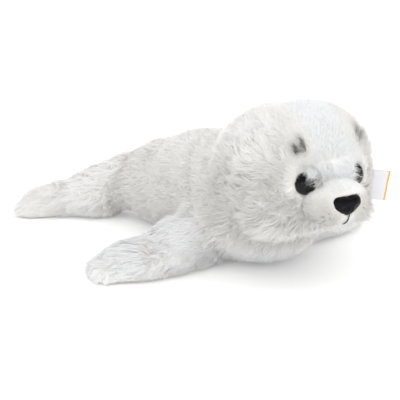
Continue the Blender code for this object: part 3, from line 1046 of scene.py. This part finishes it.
@dataclass
class Body(StuffedPiece):
    """Head, trunk and tail in one cover.

    The crown has a short smooth pile, the head and the tail end a long one, and
    the trunk a matted one. The belly and the throat are short again.
    """

    crown_length: float = 3.4
    face_length: float = 5.5
    brow_length: float = 6.5
    cheek_length: float = 7.6
    neck_length: float = 8.0
    trunk_length: float = 5.0
    tail_length: float = 7.5
    belly_length: float = 4.2
    eye_rim_length: float = 3.4
    hem_extra: float = 2.5
    tail_root_extra: float = 2.5
    flipper_root_extra: float = 3.0
    crown_back: float = 48.0
    crown_front: float = 106.0
    crown_half_back: float = 20.0
    crown_half_front: float = 33.0
    crown_border: float = 3.0
    crease_depth: float = 1.8
    trunk_split: float = -8.0
    brow_spots: tuple[tuple[float, float, float, float], ...] = (
        (25.0, 103.0, 3.3, 5.0),
        (20.2, 105.8, 3.5, 7.2),
    )
    left_spot_shift: float = 9.0
    left_spot_strength: float = 0.97
    puff_place: Place = (99.0, 41.0, 48.0)
    puff_width: float = 9.0
    puff_height: float = 5.0
    face_half: Place = (20.0, 29.0, 21.0)
    tail_bend_radius: float = 95.0
    tail_bend_start: float = -60.0
    tail_bend_most: float = 0.766
    tone_ends: tuple[float, float] = (0.03, 0.72)
    bare_below: float = 1.5
    right_tufts: EyeTufts = EyeTufts(upward=0.50, inward=0.87, extra_length=7.4)
    left_tufts: EyeTufts = EyeTufts(upward=-0.20, inward=0.98, extra_length=6.2)

    def crown_gap(self, points: np.ndarray) -> np.ndarray:
        """How far a point lies outside the crown's side edge."""
        run = self.crown_front - self.crown_back
        along = np.clip((points[:, 0] - self.crown_back) / run, 0, 1)
        half = mixed(self.crown_half_back, self.crown_half_front, along)
        return np.abs(points[:, 1]) - half

    def crown(self, points: np.ndarray) -> np.ndarray:
        """The share of the crown's short pile."""
        x, y, z = points.T
        above = eased(76, 84, z)
        return eased(4, -4, self.crown_gap(points)) * above * eased(-4, 4, x - self.crown_back)

    def throat_edge(self, points: np.ndarray, behind: float) -> np.ndarray:
        """How high the throat's short pile reaches, from its height behind."""
        return behind + 20 * eased(70, 105, points[:, 0])

    def belly(self, points: np.ndarray) -> np.ndarray:
        """The share of the short pile on throat, chest and underside."""
        x, y, z = points.T
        throat = eased(13, -13, z - self.throat_edge(points, 22)) * eased(5, 20, x)
        return np.maximum(throat, eased(9, 4, z))

    def head(self, points: np.ndarray) -> np.ndarray:
        """The share of the head against the trunk."""
        x, y, z = points.T
        return eased(22, 44, x + 0.25 * (z - 60))

    def tail_offset(self, points: np.ndarray) -> np.ndarray:
        """How far a point lies ahead of the fold before the tail end."""
        x, y, z = points.T
        return 0.86 * (x + 108) + 0.5 * (y + 41) - 0.1 * (z - 36)

    def tail_end(self, points: np.ndarray) -> np.ndarray:
        """The share of the long pile behind that fold."""
        return eased(2, -4, self.tail_offset(points))

    def creases(self, points: np.ndarray) -> tuple[np.ndarray, np.ndarray]:
        """The fold behind the chest and the fold before the tail end."""
        x, y, z = points.T
        chest = bell(x + 0.727 * (z - 53) + 2, 7.0) * eased(96, 74, z)
        return chest, bell(self.tail_offset(points), 4.5) * eased(62, 48, z)

    def filled(self, points: np.ndarray) -> np.ndarray:
        """Fill between cheeks and throat, but not at the floor or the eyes."""
        x, y, z = points.T
        return eased(8, 25, x) * eased(74, 58, z) * eased(8, 16, z)

    def sculpt(self, points: np.ndarray) -> np.ndarray:
        """Draw the two creases in and push the left cheek out, seen past the muzzle."""
        chest, tail = self.creases(points)
        away = np.linalg.norm(points - np.array(self.puff_place), axis=1)
        puff = self.puff_height * bell(away, self.puff_width)
        return self.crease_depth * (0.7 * chest + 0.9 * tail) - puff

    def spots(self, points: np.ndarray) -> np.ndarray:
        """The airbrushed brow spots, two dark tufts above each eye."""
        x, y, z = points.T
        found = np.zeros(len(points))
        for across, height, wide, tall in self.brow_spots:
            aside = np.abs(y) - across - np.where(y > 0, self.left_spot_shift, 0.0)
            offset = (aside / wide) ** 2 + ((z - height) / tall) ** 2
            found = np.maximum(found, eased(1.5, 0.5, np.sqrt(offset)))
        return found * eased(85, 95, x) * np.where(y > 0, self.left_spot_strength, 1.0)

    def tufts(self, side: Side) -> EyeTufts:
        """The tufts of an eye."""
        return self.right_tufts if side is Side.RIGHT else self.left_tufts

    def over_eye(self, points: np.ndarray, side: Side) -> np.ndarray:
        """The share of the tufts that grow beside an eye and fall over it.

        Args:
            points: The skin's points.
            side: Which eye.

        Returns:
            The share at each point.
        """
        offset = points - middle("eye_" + side.word)
        tufts = self.tufts(side)
        towards = offset[:, 2] * tufts.upward - side.value * offset[:, 1] * tufts.inward
        return eased(14.5, 10.5, np.linalg.norm(offset, axis=1)) * eased(1.5, 5.0, towards)

    def shares(self, points: np.ndarray) -> dict[str, np.ndarray]:
        """Where each piece of the body's pile grows."""
        y = points[:, 1]
        crown = self.crown(points)
        belly = self.belly(points) * (1 - crown)
        rest = 1 - np.maximum(crown, belly)
        head, tail = self.head(points), self.tail_end(points)
        trunk = rest * (1 - head) * (1 - tail)
        return {
            "crown_pile": crown,
            "belly_pile": belly,
            "head_pile_right": head * rest * (y < 0),
            "head_pile_left": head * rest * (y >= 0),
            "trunk_pile_right": trunk * (y < self.trunk_split),
            "trunk_pile_left": trunk * (y >= self.trunk_split),
            "tail_pile": tail * rest,
            "brow_tufts": self.over_eye(points, Side.RIGHT),
        }

    def base(self, points: np.ndarray) -> Coat:
        """The coat by the body's large regions, with painted shade and painted light in its tone.
        """
        x, y, z = points.T
        crown, belly = self.crown(points), self.belly(points)
        head, tail = self.head(points), self.tail_end(points)
        chest_crease, tail_crease = self.creases(points)
        cheek, crown_gap = eased(28, 58, x), self.crown_gap(points)
        hem = bell(z - self.throat_edge(points, 30), 8.0) * eased(15, 35, x)

        length = mixed(self.trunk_length, self.neck_length, head)
        length += (self.cheek_length - self.neck_length) * cheek * head
        length = mixed(length, self.tail_length, tail)
        short = self.crown_length + self.crown_border * eased(-16, 4, crown_gap)
        length = mixed(mixed(length, short, crown), self.belly_length, belly)
        length += self.hem_extra * hem

        # Painted shade and light: the head is darker on its cheeks and lower down and lighter
        # towards its top, and the trunk is lighter towards its top.
        tone = 0.62 + head * (0.10 * cheek - 0.34 * eased(76, 106, z)) - 0.30 * tail
        tone -= 0.14 * eased(50, 80, z) * (1 - head)
        # Painted shade: the crown darkens towards its side edges, where it turns away from the
        # light.
        tone = mixed(tone, 0.09 + 0.42 * eased(-24, 2, crown_gap), crown)
        # Painted shade in the creases behind the chest and before the tail end.
        tone = mixed(tone, 0.12, belly) + 0.14 * chest_crease + 0.22 * tail_crease
        # Painted shade at the neck behind the head; painted light along the hem under the cheeks,
        # against the shade there.
        tone += 0.12 * bell(x - 28, 14.0) * eased(100, 80, z) - 0.08 * hem

        bend = (self.tail_bend_start - x) / self.tail_bend_radius
        bend = np.arcsin(np.clip(bend, 0.0, self.tail_bend_most))
        to_tail = columns(len(x), -np.cos(bend), -np.sin(bend), -0.35)
        flow = turned(to_tail, unit(points - middle("nose")), head)
        return Coat(length, flow, tone, self.above_floor(points), np.zeros(len(x)))

    def add_face(self, coat: Coat, points: np.ndarray, muzzle_gap: np.ndarray) -> None:
        """Shorten the coat round the muzzle and let the brow fall over its bridge; painted shade
        darkens the pile along the muzzle's edge and its seam with the forehead.

        Args:
            coat: The coat to change.
            points: The skin's points.
            muzzle_gap: Their distances from the muzzle.
        """
        x, y, z = points.T
        reach = np.linalg.norm((points - middle("muzzle")) / np.array(self.face_half), axis=1)
        short = np.minimum(coat.length, self.face_length)
        coat.length = mixed(coat.length, short, eased(1.7, 1.1, reach))
        # Painted shade in a band just outside the muzzle's edge.
        coat.tone += 0.12 * bell(reach - 1.15, 0.12) * eased(80, 70, z)
        brow = eased(17, 10, np.abs(y)) * eased(99, 89, z) * eased(77, 81, z) * eased(96, 106, x)
        coat.flow = turned(coat.flow, unit(columns(len(x), 0.5, 0.25 * np.sign(y), -1.0)), brow)
        coat.length = mixed(coat.length, self.brow_length, brow * eased(99, 90, z))
        coat.tone = mixed(coat.tone, 0.08, brow)
        # Painted shade along the seam where the forehead meets the muzzle.
        coat.tone += 0.45 * bell(muzzle_gap - 1.0, 2.2) * eased(75, 78, z)

    def add_flippers(self, coat: Coat, gaps: dict[str, np.ndarray], side: Side) -> None:
        """Lengthen the coat where it falls over the roots of a side's flippers, and paint light
        into the crevice at the fore flipper's root.
        """
        hind = eased(9, 2, gaps["hind_flipper_" + side.word])
        fore = eased(10, 2, gaps["fore_flipper_" + side.word])
        coat.length += self.tail_root_extra * hind + self.flipper_root_extra * fore
        outward = unit(np.array([[-0.35, float(side.value), -0.45]]))
        coat.flow = turned(coat.flow, outward, fore)
        # Painted light: the crevice at the fore flipper's root is lightened against the shade
        # there.
        coat.tone = mixed(coat.tone, 0.25, 0.7 * fore)
        coat.stand = np.maximum(coat.stand, np.maximum(0.3 * hind, 0.15 * fore))

    def add_eye(self, coat: Coat, points: np.ndarray, side: Side) -> None:
        """Clear an eye's rim and raise the tufts that fall over it."""
        offset = points - middle("eye_" + side.word)
        near = eased(19.0, 10.5, np.linalg.norm(offset, axis=1))
        over_eye = self.over_eye(points, side)
        wanted = self.eye_rim_length + self.tufts(side).extra_length * over_eye
        near_share = near * np.where(coat.length > wanted, 1.0, over_eye)
        coat.length = mixed(coat.length, wanted, near_share)
        coat.stand = np.maximum(coat.stand, over_eye)
        towards = unit(np.array([0.0, side.value * 3.0, 0.0]) - offset)
        coat.flow = turned(coat.flow, towards, over_eye)
        coat.tone = mixed(coat.tone, 0.12, near * 0.5)

    def coat(self, points: np.ndarray, gaps: dict[str, np.ndarray]) -> Coat:
        """The body's pile by place."""
        coat = self.base(points)
        self.add_face(coat, points, gaps["muzzle"])
        for side in Side:
            self.add_flippers(coat, gaps, side)
            self.add_eye(coat, points, side)
        coat.tone = mixed(np.clip(coat.tone, *self.tone_ends), 0.99, self.spots(points))
        return coat


@dataclass
class ForeFlipper(StuffedPiece):
    """A fore flipper, whose pile runs out along the hand."""

    side: Side = Side.RIGHT
    pile_length: float = 7.5
    fold_depth: float = 1.9
    root_across: float = 25.0
    tone_ends: tuple[float, float] = (0.03, 0.78)

    def fold(self, points: np.ndarray) -> np.ndarray:
        """The fold in front, where the upper part ends over the hand."""
        x, y, z = points.T
        line = np.abs(y) - 86.0 - 0.6 * (x - 22.0)
        return bell(line, 4.0) * eased(2, 16, x) * eased(4, 10, z)

    def sculpt(self, points: np.ndarray) -> np.ndarray:
        """Draw the fold in."""
        return self.fold_depth * self.fold(points)

    def coat(self, points: np.ndarray, gaps: dict[str, np.ndarray]) -> Coat:
        """Long pile that lies towards the tip."""
        x, y, z = points.T
        low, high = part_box(self.node)
        tip_across = max(abs(low[1]), abs(high[1])) / MM
        share = (np.abs(y) - self.root_across) / (tip_across - self.root_across)
        drop = -0.25 - 1.3 * eased(0.82, 0.97, share)
        flow = unit(columns(len(x), -0.28, float(self.side.value), drop))
        under = eased(6, 2, z)
        length = self.pile_length - 2.0 * eased(0.75, 1.0, share) - 5.0 * under
        # Painted shade: darker on the underside near the floor and in the fold over the hand.
        tone = 0.17 + 0.20 * under + 0.18 * self.fold(points)
        return Coat(length, flow, np.clip(tone, *self.tone_ends), self.above_floor(points))


@dataclass
class HindFlipper(StuffedPiece):
    """A hind flipper, whose pile lies backwards."""

    pile_length: float = 6.0
    lie: Place = (-0.72, -0.62, -0.2)

    def coat(self, points: np.ndarray, gaps: dict[str, np.ndarray]) -> Coat:
        """Long pile that lies away from the tail."""
        flow = unit(columns(len(points), *self.lie))
        under = eased(6, 2, points[:, 2])
        length = self.pile_length - 4.0 * under
        # Painted shade: darker on the underside near the floor.
        return Coat(length, flow, 0.36 + 0.20 * under, self.above_floor(points))


@dataclass
class Muzzle(StuffedPiece):
    """The muzzle pad, with a short pile and faint whisker dots."""

    pile_length: float = 2.2
    edge_length: float = 4.5
    whiskers: tuple[tuple[float, float], ...] = (
        (14.0, 63.0),
        (17.5, 61.0),
        (15.5, 57.5),
        (19.0, 57.0),
        (12.5, 59.5),
    )

    def coat(self, points: np.ndarray, gaps: dict[str, np.ndarray]) -> Coat:
        """Short pile that lies away from the nose, with painted shade low on its sides and along
        its top seam.
        """
        x, y, z = points.T
        # Painted shade: the pad darkens low on its sides, away from its middle.
        tone = 0.12 + 0.70 * eased(82, 67, z) * eased(1, 9, np.abs(y))
        # Painted shade along the seam where the muzzle meets the forehead, stronger on the seal's
        # right.
        tone += 0.58 * bell(gaps["body"] - 2.6, 2.6) * eased(73, 77, z) * eased(6, -12, y)
        for across, height in self.whiskers:
            spot = np.hypot(np.abs(y) - across, z - height)
            tone = mixed(tone, 0.985, eased(1.4, 0.5, spot) * eased(110, 114, x))
        from_nose = gaps["nose"]
        length = self.pile_length * (1 - 0.5 * eased(5.0, 1.0, from_nose))
        length = mixed(length, self.edge_length, eased(9.0, 20.0, from_nose))
        return Coat(length, unit(points - middle("nose")), tone, np.ones(len(x)))


def ring_of(
    shape: bmesh.types.BMesh, centre: Vector, first: Vector, second: Vector, sides: int
) -> list[bmesh.types.BMVert]:
    """Add a ring of points.

    Args:
        shape: The shape that gets them.
        centre: The ring's centre.
        first: The way from there to the first point.
        second: The way to the point a quarter turn on.
        sides: How many points there are.

    Returns:
        The points in their order.
    """
    angles = [2 * math.pi * step / sides for step in range(sides)]
    spokes = [first * math.cos(angle) + second * math.sin(angle) for angle in angles]
    return [shape.verts.new((centre + spoke) * MM) for spoke in spokes]


def sleeve(shape: bmesh.types.BMesh, rings: Sequence[list[bmesh.types.BMVert]]) -> None:
    """Join rings with the same number of points into a sleeve."""
    for near, far in zip(rings, rings[1:]):
        for step in range(len(near)):
            after = (step + 1) % len(near)
            shape.faces.new((near[step], far[step], far[after], near[after]))


def with_neighbours(path: Sequence[object]) -> Iterator[tuple[object, object, object]]:
    """Each item of a path between the one before it and the one after it."""
    return zip([path[0], *path], path, [*path[1:], path[-1]])


def closed(shape: bmesh.types.BMesh, name: str, material: bpy.types.Material) -> bpy.types.Mesh:
    """The mesh of a closed shape, its faces turned outwards, in this material."""
    bmesh.ops.recalc_face_normals(shape, faces=shape.faces)
    mesh = mesh_of(shape, name)
    dress(mesh, material)
    return mesh


@dataclass
class Eye:
    """A safety eye: a polished dome that seats on the cover."""

    side: Side
    diameter: float = 16.5
    dome: float = 7.0
    edge: float = 1.2
    edge_round: float = 0.3
    turn: float = math.radians(41)
    rings: int = 20
    sides: int = 72

    def profile(self) -> list[tuple[float, float]]:
        """The dome's outline from its apex down, as (from the axis, above the seat)."""
        radius = self.diameter / 2
        angles = [math.pi / 2 * ring / self.rings for ring in range(1, self.rings + 1)]
        arc = [(radius * math.sin(angle), self.dome * math.cos(angle)) for angle in angles]
        return [*arc, (radius, -self.edge * 0.7), (radius - self.edge_round, -self.edge)]

    def make(self, wardrobe: Wardrobe) -> None:
        """Turn the dome and seat it where the CAD dome is."""
        node = "eye_" + self.side.word
        outward = Vector((math.cos(self.turn), self.side.value * math.sin(self.turn), 0.0))
        corners = [vert.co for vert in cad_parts[node].data.vertices]
        apex = max(corners, key=outward.dot) / MM
        centre = Vector(middle(node))
        centre += outward * (apex.dot(outward) - centre.dot(outward) - self.dome)
        centre.z = apex.z
        across = UP.cross(outward)
        upward = outward.cross(across)
        shape = bmesh.new()
        share = shape.verts.layers.float.new("rim_share")
        rings = []
        for reach, height in self.profile():
            seat = centre + outward * height
            ring = ring_of(shape, seat, across * reach, upward * reach, self.sides)
            for vert in ring:
                vert[share] = 2 * reach / self.diameter
            rings.append(ring)
        sleeve(shape, rings)
        for ring, height in ((rings[0], self.dome), (rings[-1], -self.edge)):
            tip = shape.verts.new((centre + outward * height) * MM)
            for step, vert in enumerate(ring):
                shape.faces.new((tip, ring[step - 1], vert))
        mesh = closed(shape, node + "_dome", wardrobe.eye)
        mesh.shade_smooth()
        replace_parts(finished(node + "_dome", mesh), node)


@dataclass
class Nose:
    """The moulded nose, with soft edges, two nostrils and a groove."""

    facet: float = 0.55
    rounds: int = 5
    nostril_across: float = 5.2
    nostril_drop: float = 0.6
    nostril_size: float = 2.0
    nostril_width: float = 1.35
    nostril_depth: float = 1.5
    groove_width: float = 0.7
    groove_depth: float = 0.7

    def make(self, wardrobe: Wardrobe) -> None:
        """Refine the CAD form and press the nostrils in."""
        form, _ = even_form("nose", self.facet, self.rounds)
        mesh = worked_in(form)
        bpy.data.objects.remove(form)
        points = rows(mesh.vertices, "co") / MM
        normals = rows(mesh.vertex_normals, "vector")
        low, high = (np.array(corner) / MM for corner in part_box("nose"))
        upward = points[:, 2] - (low[2] + high[2]) / 2 + self.nostril_drop
        across = np.abs(points[:, 1])
        aside = (across - self.nostril_across) / self.nostril_width
        nostril = bell(np.hypot(aside, upward), self.nostril_size)
        below = eased(high[2] - 5.5, high[2] - 8.5, points[:, 2])
        pressed = self.nostril_depth * nostril
        pressed += self.groove_depth * bell(across, self.groove_width) * below
        pressed *= eased(0.3, 0.7, normals[:, 0])
        move(mesh, (points - normals * pressed[:, None]) * MM)
        mesh.shade_smooth()
        dress(mesh, wardrobe.nose)
        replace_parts(finished("nose_cover", mesh), "nose")


@dataclass
class MouthThread:
    """The embroidery thread below the nose: one stitch of two twisted plies.

    It goes down from the nose and turns a short way to the seal's right. The
    pad's centre and half sizes are the solid's.
    """

    pad_centre: Place = (119.0, 0.0, 66.0)
    pad_half: Place = (14.0, 25.0, 16.5)
    top: float = -4.6
    turn: float = -9.6
    straight: float = 0.625
    spread: float = 2.4
    fall: float = 2.0
    ply: float = 0.30
    twist_share: float = 0.75
    proud: float = 0.75
    pitch: float = 2.2
    sides: int = 8
    steps: int = 36

    def on_pad(self, across: float, upward: float) -> Vector:
        """A point just proud of the pad's front."""
        half = Vector(self.pad_half)
        share = 1 - (across / half.y) ** 2 - (upward / half.z) ** 2
        offset = Vector((half.x * math.sqrt(max(share, 0.0)), across, upward))
        normal = Vector([offset[axis] / half[axis] ** 2 for axis in range(3)]).normalized()
        return Vector(self.pad_centre) + offset + normal * self.proud

    def path(self) -> list[Vector]:
        """The stitch's course: straight down, then in a bend."""
        path = []
        for step in range(self.steps + 1):
            along = step / self.steps / self.straight
            upward = self.top + (self.turn - self.top) * min(along, 1.0)
            bend = max(along - 1.0, 0.0) / (1 / self.straight - 1)
            path.append(self.on_pad(-self.spread * bend ** 1.5, upward - self.fall * bend))
        return path

    def wind(self, shape: bmesh.types.BMesh, path: Sequence[Vector], phase: float) -> None:
        """Wind one ply round a path as a closed tube."""
        length = 0.0
        rings = []
        for before, place, after in with_neighbours(path):
            along = (after - before).normalized()
            length += (place - before).length
            level = along.cross(Vector((1, 0, 0))).normalized()
            ahead = level.cross(along)
            turn = 2 * math.pi * length / self.pitch + phase
            aside = level * math.cos(turn) + ahead * math.sin(turn)
            centre = place + aside * self.ply * self.twist_share
            rings.append(ring_of(shape, centre, level * self.ply, ahead * self.ply, self.sides))
        sleeve(shape, rings)
        shape.faces.new(rings[0][::-1])
        shape.faces.new(rings[-1])

    def make(self, wardrobe: Wardrobe) -> None:
        """Sew the stitch."""
        shape = bmesh.new()
        for phase in (0.0, math.pi):
            self.wind(shape, self.path(), phase)
        mesh = closed(shape, "mouth_thread", wardrobe.thread)
        mesh.shade_smooth()
        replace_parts(finished("mouth_thread", mesh), "mouth_stitch")


@dataclass
class SideLabel:
    """The bare satin loop on the seal's left side: one ribbon, folded once.

    Its root is the place where the solid that it stands for leaves the cover.
    """

    root: Place = (90.7, 50.4, 65.0)
    turn: float = math.radians(78)
    lean: float = math.radians(11)
    start: float = 2.0
    reach: float = 15.9
    height: float = 21.3
    fold: float = 2.1
    cloth: float = 0.34
    wave: float = 0.22
    wave_pitch: float = 0.32
    wave_phase: float = 0.5
    steps_along: int = 14
    steps_round: int = 10
    steps_up: int = 20

    def course(self) -> list[tuple[float, float, float]]:
        """The ribbon's middle line, as (outward, across, distance from the fold)."""
        radius = (self.fold - self.cloth) / 2
        straight = self.reach - self.cloth / 2 - radius
        step_length = (straight - self.start) / self.steps_along
        run = [self.start + step_length * step for step in range(self.steps_along)]
        line = [(place, -radius, self.reach - place) for place in run]
        for step in range(self.steps_round + 1):
            angle = math.pi * (step / self.steps_round - 0.5)
            outward = straight + radius * math.cos(angle)
            line.append((outward, radius * math.sin(angle), self.reach - outward))
        return line + [(place, radius, self.reach - place) for place in reversed(run)]

    def make(self, wardrobe: Wardrobe) -> None:
        """Fold the ribbon and sew it in."""
        outward = Vector((math.cos(self.turn), math.sin(self.turn), 0.0))
        across = UP.cross(outward)
        leaned = outward * math.cos(self.lean) - UP * math.sin(self.lean)
        upright = outward * math.sin(self.lean) + UP * math.cos(self.lean)
        shape = bmesh.new()
        reach = shape.verts.layers.float.new("label_reach")
        rises = [self.height * (step / self.steps_up - 0.5) for step in range(self.steps_up + 1)]
        rings = []
        for before, (ahead, aside, gap), after in with_neighbours(self.course()):
            along = Vector((after[0] - before[0], after[1] - before[1])).normalized()
            ring = []
            for half, order in ((self.cloth / 2, rises), (-self.cloth / 2, rises[::-1])):
                for rise in order:
                    swing = math.sin(self.wave_pitch * rise + self.wave_phase)
                    bow = self.wave * swing * (1.0 - gap / self.reach)
                    place = Vector(self.root) + leaned * (ahead + along.y * half)
                    place += across * (aside + bow - along.x * half) + upright * rise
                    vert = shape.verts.new(place * MM)
                    vert[reach] = gap
                    ring.append(vert)
            rings.append(ring)
        sleeve(shape, rings)
        for ring in (rings[0], rings[-1]):
            for step in range(self.steps_up):
                shape.faces.new((ring[step], ring[step + 1], ring[-2 - step], ring[-1 - step]))
        mesh = closed(shape, "side_label_ribbon", wardrobe.satin)
        piece = finished("side_label_ribbon", mesh)
        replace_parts(piece, "side_label")


@dataclass(frozen=True)
class Studio:
    """A plain pale floor, a soft sky and three broad soft lamps.

    The camera stands where the photograph was taken from: azimuth and elevation
    in degrees, lengths in metres, and the picture's point at which the head's
    middle is seen.
    """

    azimuth: float = 53.0
    elevation: float = 15.0
    distance: float = 1.05
    picture_width: float = 0.280
    picture_pixels: float = 400.0
    head_pixel: tuple[float, float] = (300.0, 165.0)
    head: Place = (0.078, 0.0, 0.082)
    sensor: float = 36.0
    clip: tuple[float, float] = (0.05, 60.0)
    floor_half: float = 12.0
    floor_albedo: float = 0.93
    floor_glow: float = 0.20
    sky_low: float = 1.0
    sky_high: float = 0.80
    sky_rise: tuple[float, float] = (0.1, 0.45)
    mirrored_height: float = 0.25
    mirrored_dimming: float = 0.75
    lamp_spread: float = math.radians(70)
    lamps: tuple[tuple[str, float, Place], ...] = (
        ("high lamp", 0.86, (-0.62, 0.36, -0.86)),
        ("low lamp", 0.88, (-0.80, 0.60, -0.10)),
        ("back lamp", 0.75, (0.80, -0.55, -0.30)),
    )

    def placed(self, name: str, data: bpy.types.ID, looks: Vector) -> bpy.types.Object:
        """A camera or a lamp that is turned to look this way."""
        made = bpy.data.objects.new(name, data)
        bpy.context.scene.collection.objects.link(made)
        made.rotation_mode = "QUATERNION"
        made.rotation_quaternion = looks.to_track_quat("-Z", "Y")
        return made

    def camera(self) -> None:
        """Place the camera."""
        turn, rise = math.radians(self.azimuth), math.radians(self.elevation)
        level = math.cos(rise)
        back = Vector((math.sin(turn) * level, -math.cos(turn) * level, math.sin(rise)))
        right = Vector((math.cos(turn), math.sin(turn), 0.0))
        upward = back.cross(right)
        pixel = self.picture_width / self.picture_pixels
        centre = self.picture_pixels / 2
        aim = Vector(self.head) - right * (self.head_pixel[0] - centre) * pixel
        aim -= upward * (centre - self.head_pixel[1]) * pixel
        place = Vector(self.head) + back * self.distance
        data = bpy.data.cameras.new("camera")
        data.sensor_width = self.sensor
        data.lens = self.sensor * (place - aim).length / self.picture_width
        data.clip_start, data.clip_end = self.clip
        made = self.placed("camera", data, aim - place)
        made.location = place
        bpy.context.scene.camera = made

    def floor(self) -> None:
        """A wide pale floor that keeps the object's shadow."""
        half = self.floor_half
        corners = [(-half, -half, 0), (half, -half, 0), (half, half, 0), (-half, half, 0)]
        mesh = bpy.data.meshes.new("floor")
        mesh.from_pydata(corners, [], [(0, 1, 2, 3)])
        surface = Surface("pale floor", Roughness=1.0, Specular_IOR_Level=0.0)
        surface.shader["Base Color"].default_value = (*[self.floor_albedo] * 3, 1.0)
        surface.shader["Emission Color"].default_value = (*WHITE, 1.0)
        seen = surface.node("ShaderNodeLightPath").outputs
        share = surface.calc("MAXIMUM", seen["Is Camera Ray"], seen["Is Glossy Ray"])
        glow = surface.calc("MULTIPLY", share, self.floor_glow)
        surface.feed(surface.shader["Emission Strength"], glow)
        dress(mesh, surface.material)
        link("floor", mesh)

    def sky(self) -> None:
        """A white surround that lights softly and is darker overhead."""
        world = bpy.data.worlds.new("studio")
        bpy.context.scene.world = world
        world.use_nodes = True
        nodes = NodeTree(world.node_tree)
        surround = nodes.tree.nodes["Background"].inputs
        surround["Color"].default_value = (*WHITE, 1.0)
        seen = nodes.node("ShaderNodeLightPath").outputs
        way = nodes.parted(nodes.node("ShaderNodeTexCoord").outputs["Generated"])
        feeds = {
            "Value": way["Z"],
            "From Min": self.sky_rise[0],
            "From Max": self.sky_rise[1],
            "To Min": self.sky_low,
            "To Max": self.sky_high,
        }
        height = nodes.node("ShaderNodeMapRange", feeds).outputs["Result"]
        glossy = nodes.calc("MULTIPLY", seen["Is Glossy Ray"], self.mirrored_dimming)
        overhead = nodes.calc("GREATER_THAN", way["Z"], self.mirrored_height)
        dark = nodes.calc("MULTIPLY", overhead, nodes.calc("SUBTRACT", 1.0, glossy))
        dim = nodes.calc("ADD", dark, nodes.calc("SUBTRACT", 1.0, overhead))
        soft = nodes.calc("MULTIPLY", height, dim)
        nodes.feed(surround["Strength"], nodes.calc("MAXIMUM", seen["Is Camera Ray"], soft))

    def make(self) -> None:
        """Set the whole studio up."""
        self.camera()
        self.floor()
        self.sky()
        for name, strength, shines in self.lamps:
            data = bpy.data.lights.new(name, "SUN")
            data.energy = strength
            data.angle = self.lamp_spread
            self.placed(name, data, Vector(shines)).visible_glossy = False
        bpy.context.scene.view_settings.view_transform = "Standard"


def main() -> None:
    """Dress the seal piece by piece."""
    logging.basicConfig(level=logging.INFO, format="%(message)s")
    wardrobe = Wardrobe.made()
    sewn_on = ("fore_flipper_right", "fore_flipper_left", "hind_flipper_right", "hind_flipper_left")
    Body("body", BODY_PARTS, (*sewn_on, "muzzle", "eye_right", "eye_left")).make(wardrobe)
    for number, side in enumerate(Side):
        fore, hind = "fore_flipper_" + side.word, "hind_flipper_" + side.word
        part = replace(PADDLE, name=fore + "_pile", seed=21 + number)
        ForeFlipper(fore, (part,), ("body",), side=side).make(wardrobe)
        part = replace(PADDLE, name=hind + "_pile", seed=31 + number)
        other = "hind_flipper_left" if side is Side.RIGHT else "hind_flipper_right"
        HindFlipper(hind, (part,), ("body", other), facet=1.6).make(wardrobe)
        Eye(side).make(wardrobe)
    part = replace(PAD, name="muzzle_pile", seed=41)
    Muzzle("muzzle", (part,), ("body", "nose"), Slot.SHORT_PILE, facet=0.9).make(wardrobe)
    Nose().make(wardrobe)
    for washer in ("eye_washer_right", "eye_washer_left", "nose_washer"):
        dress(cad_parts[washer].data, wardrobe.nylon)
    MouthThread().make(wardrobe)
    SideLabel().make(wardrobe)
    Studio().make()


if __name__ == "__main__":
    main()
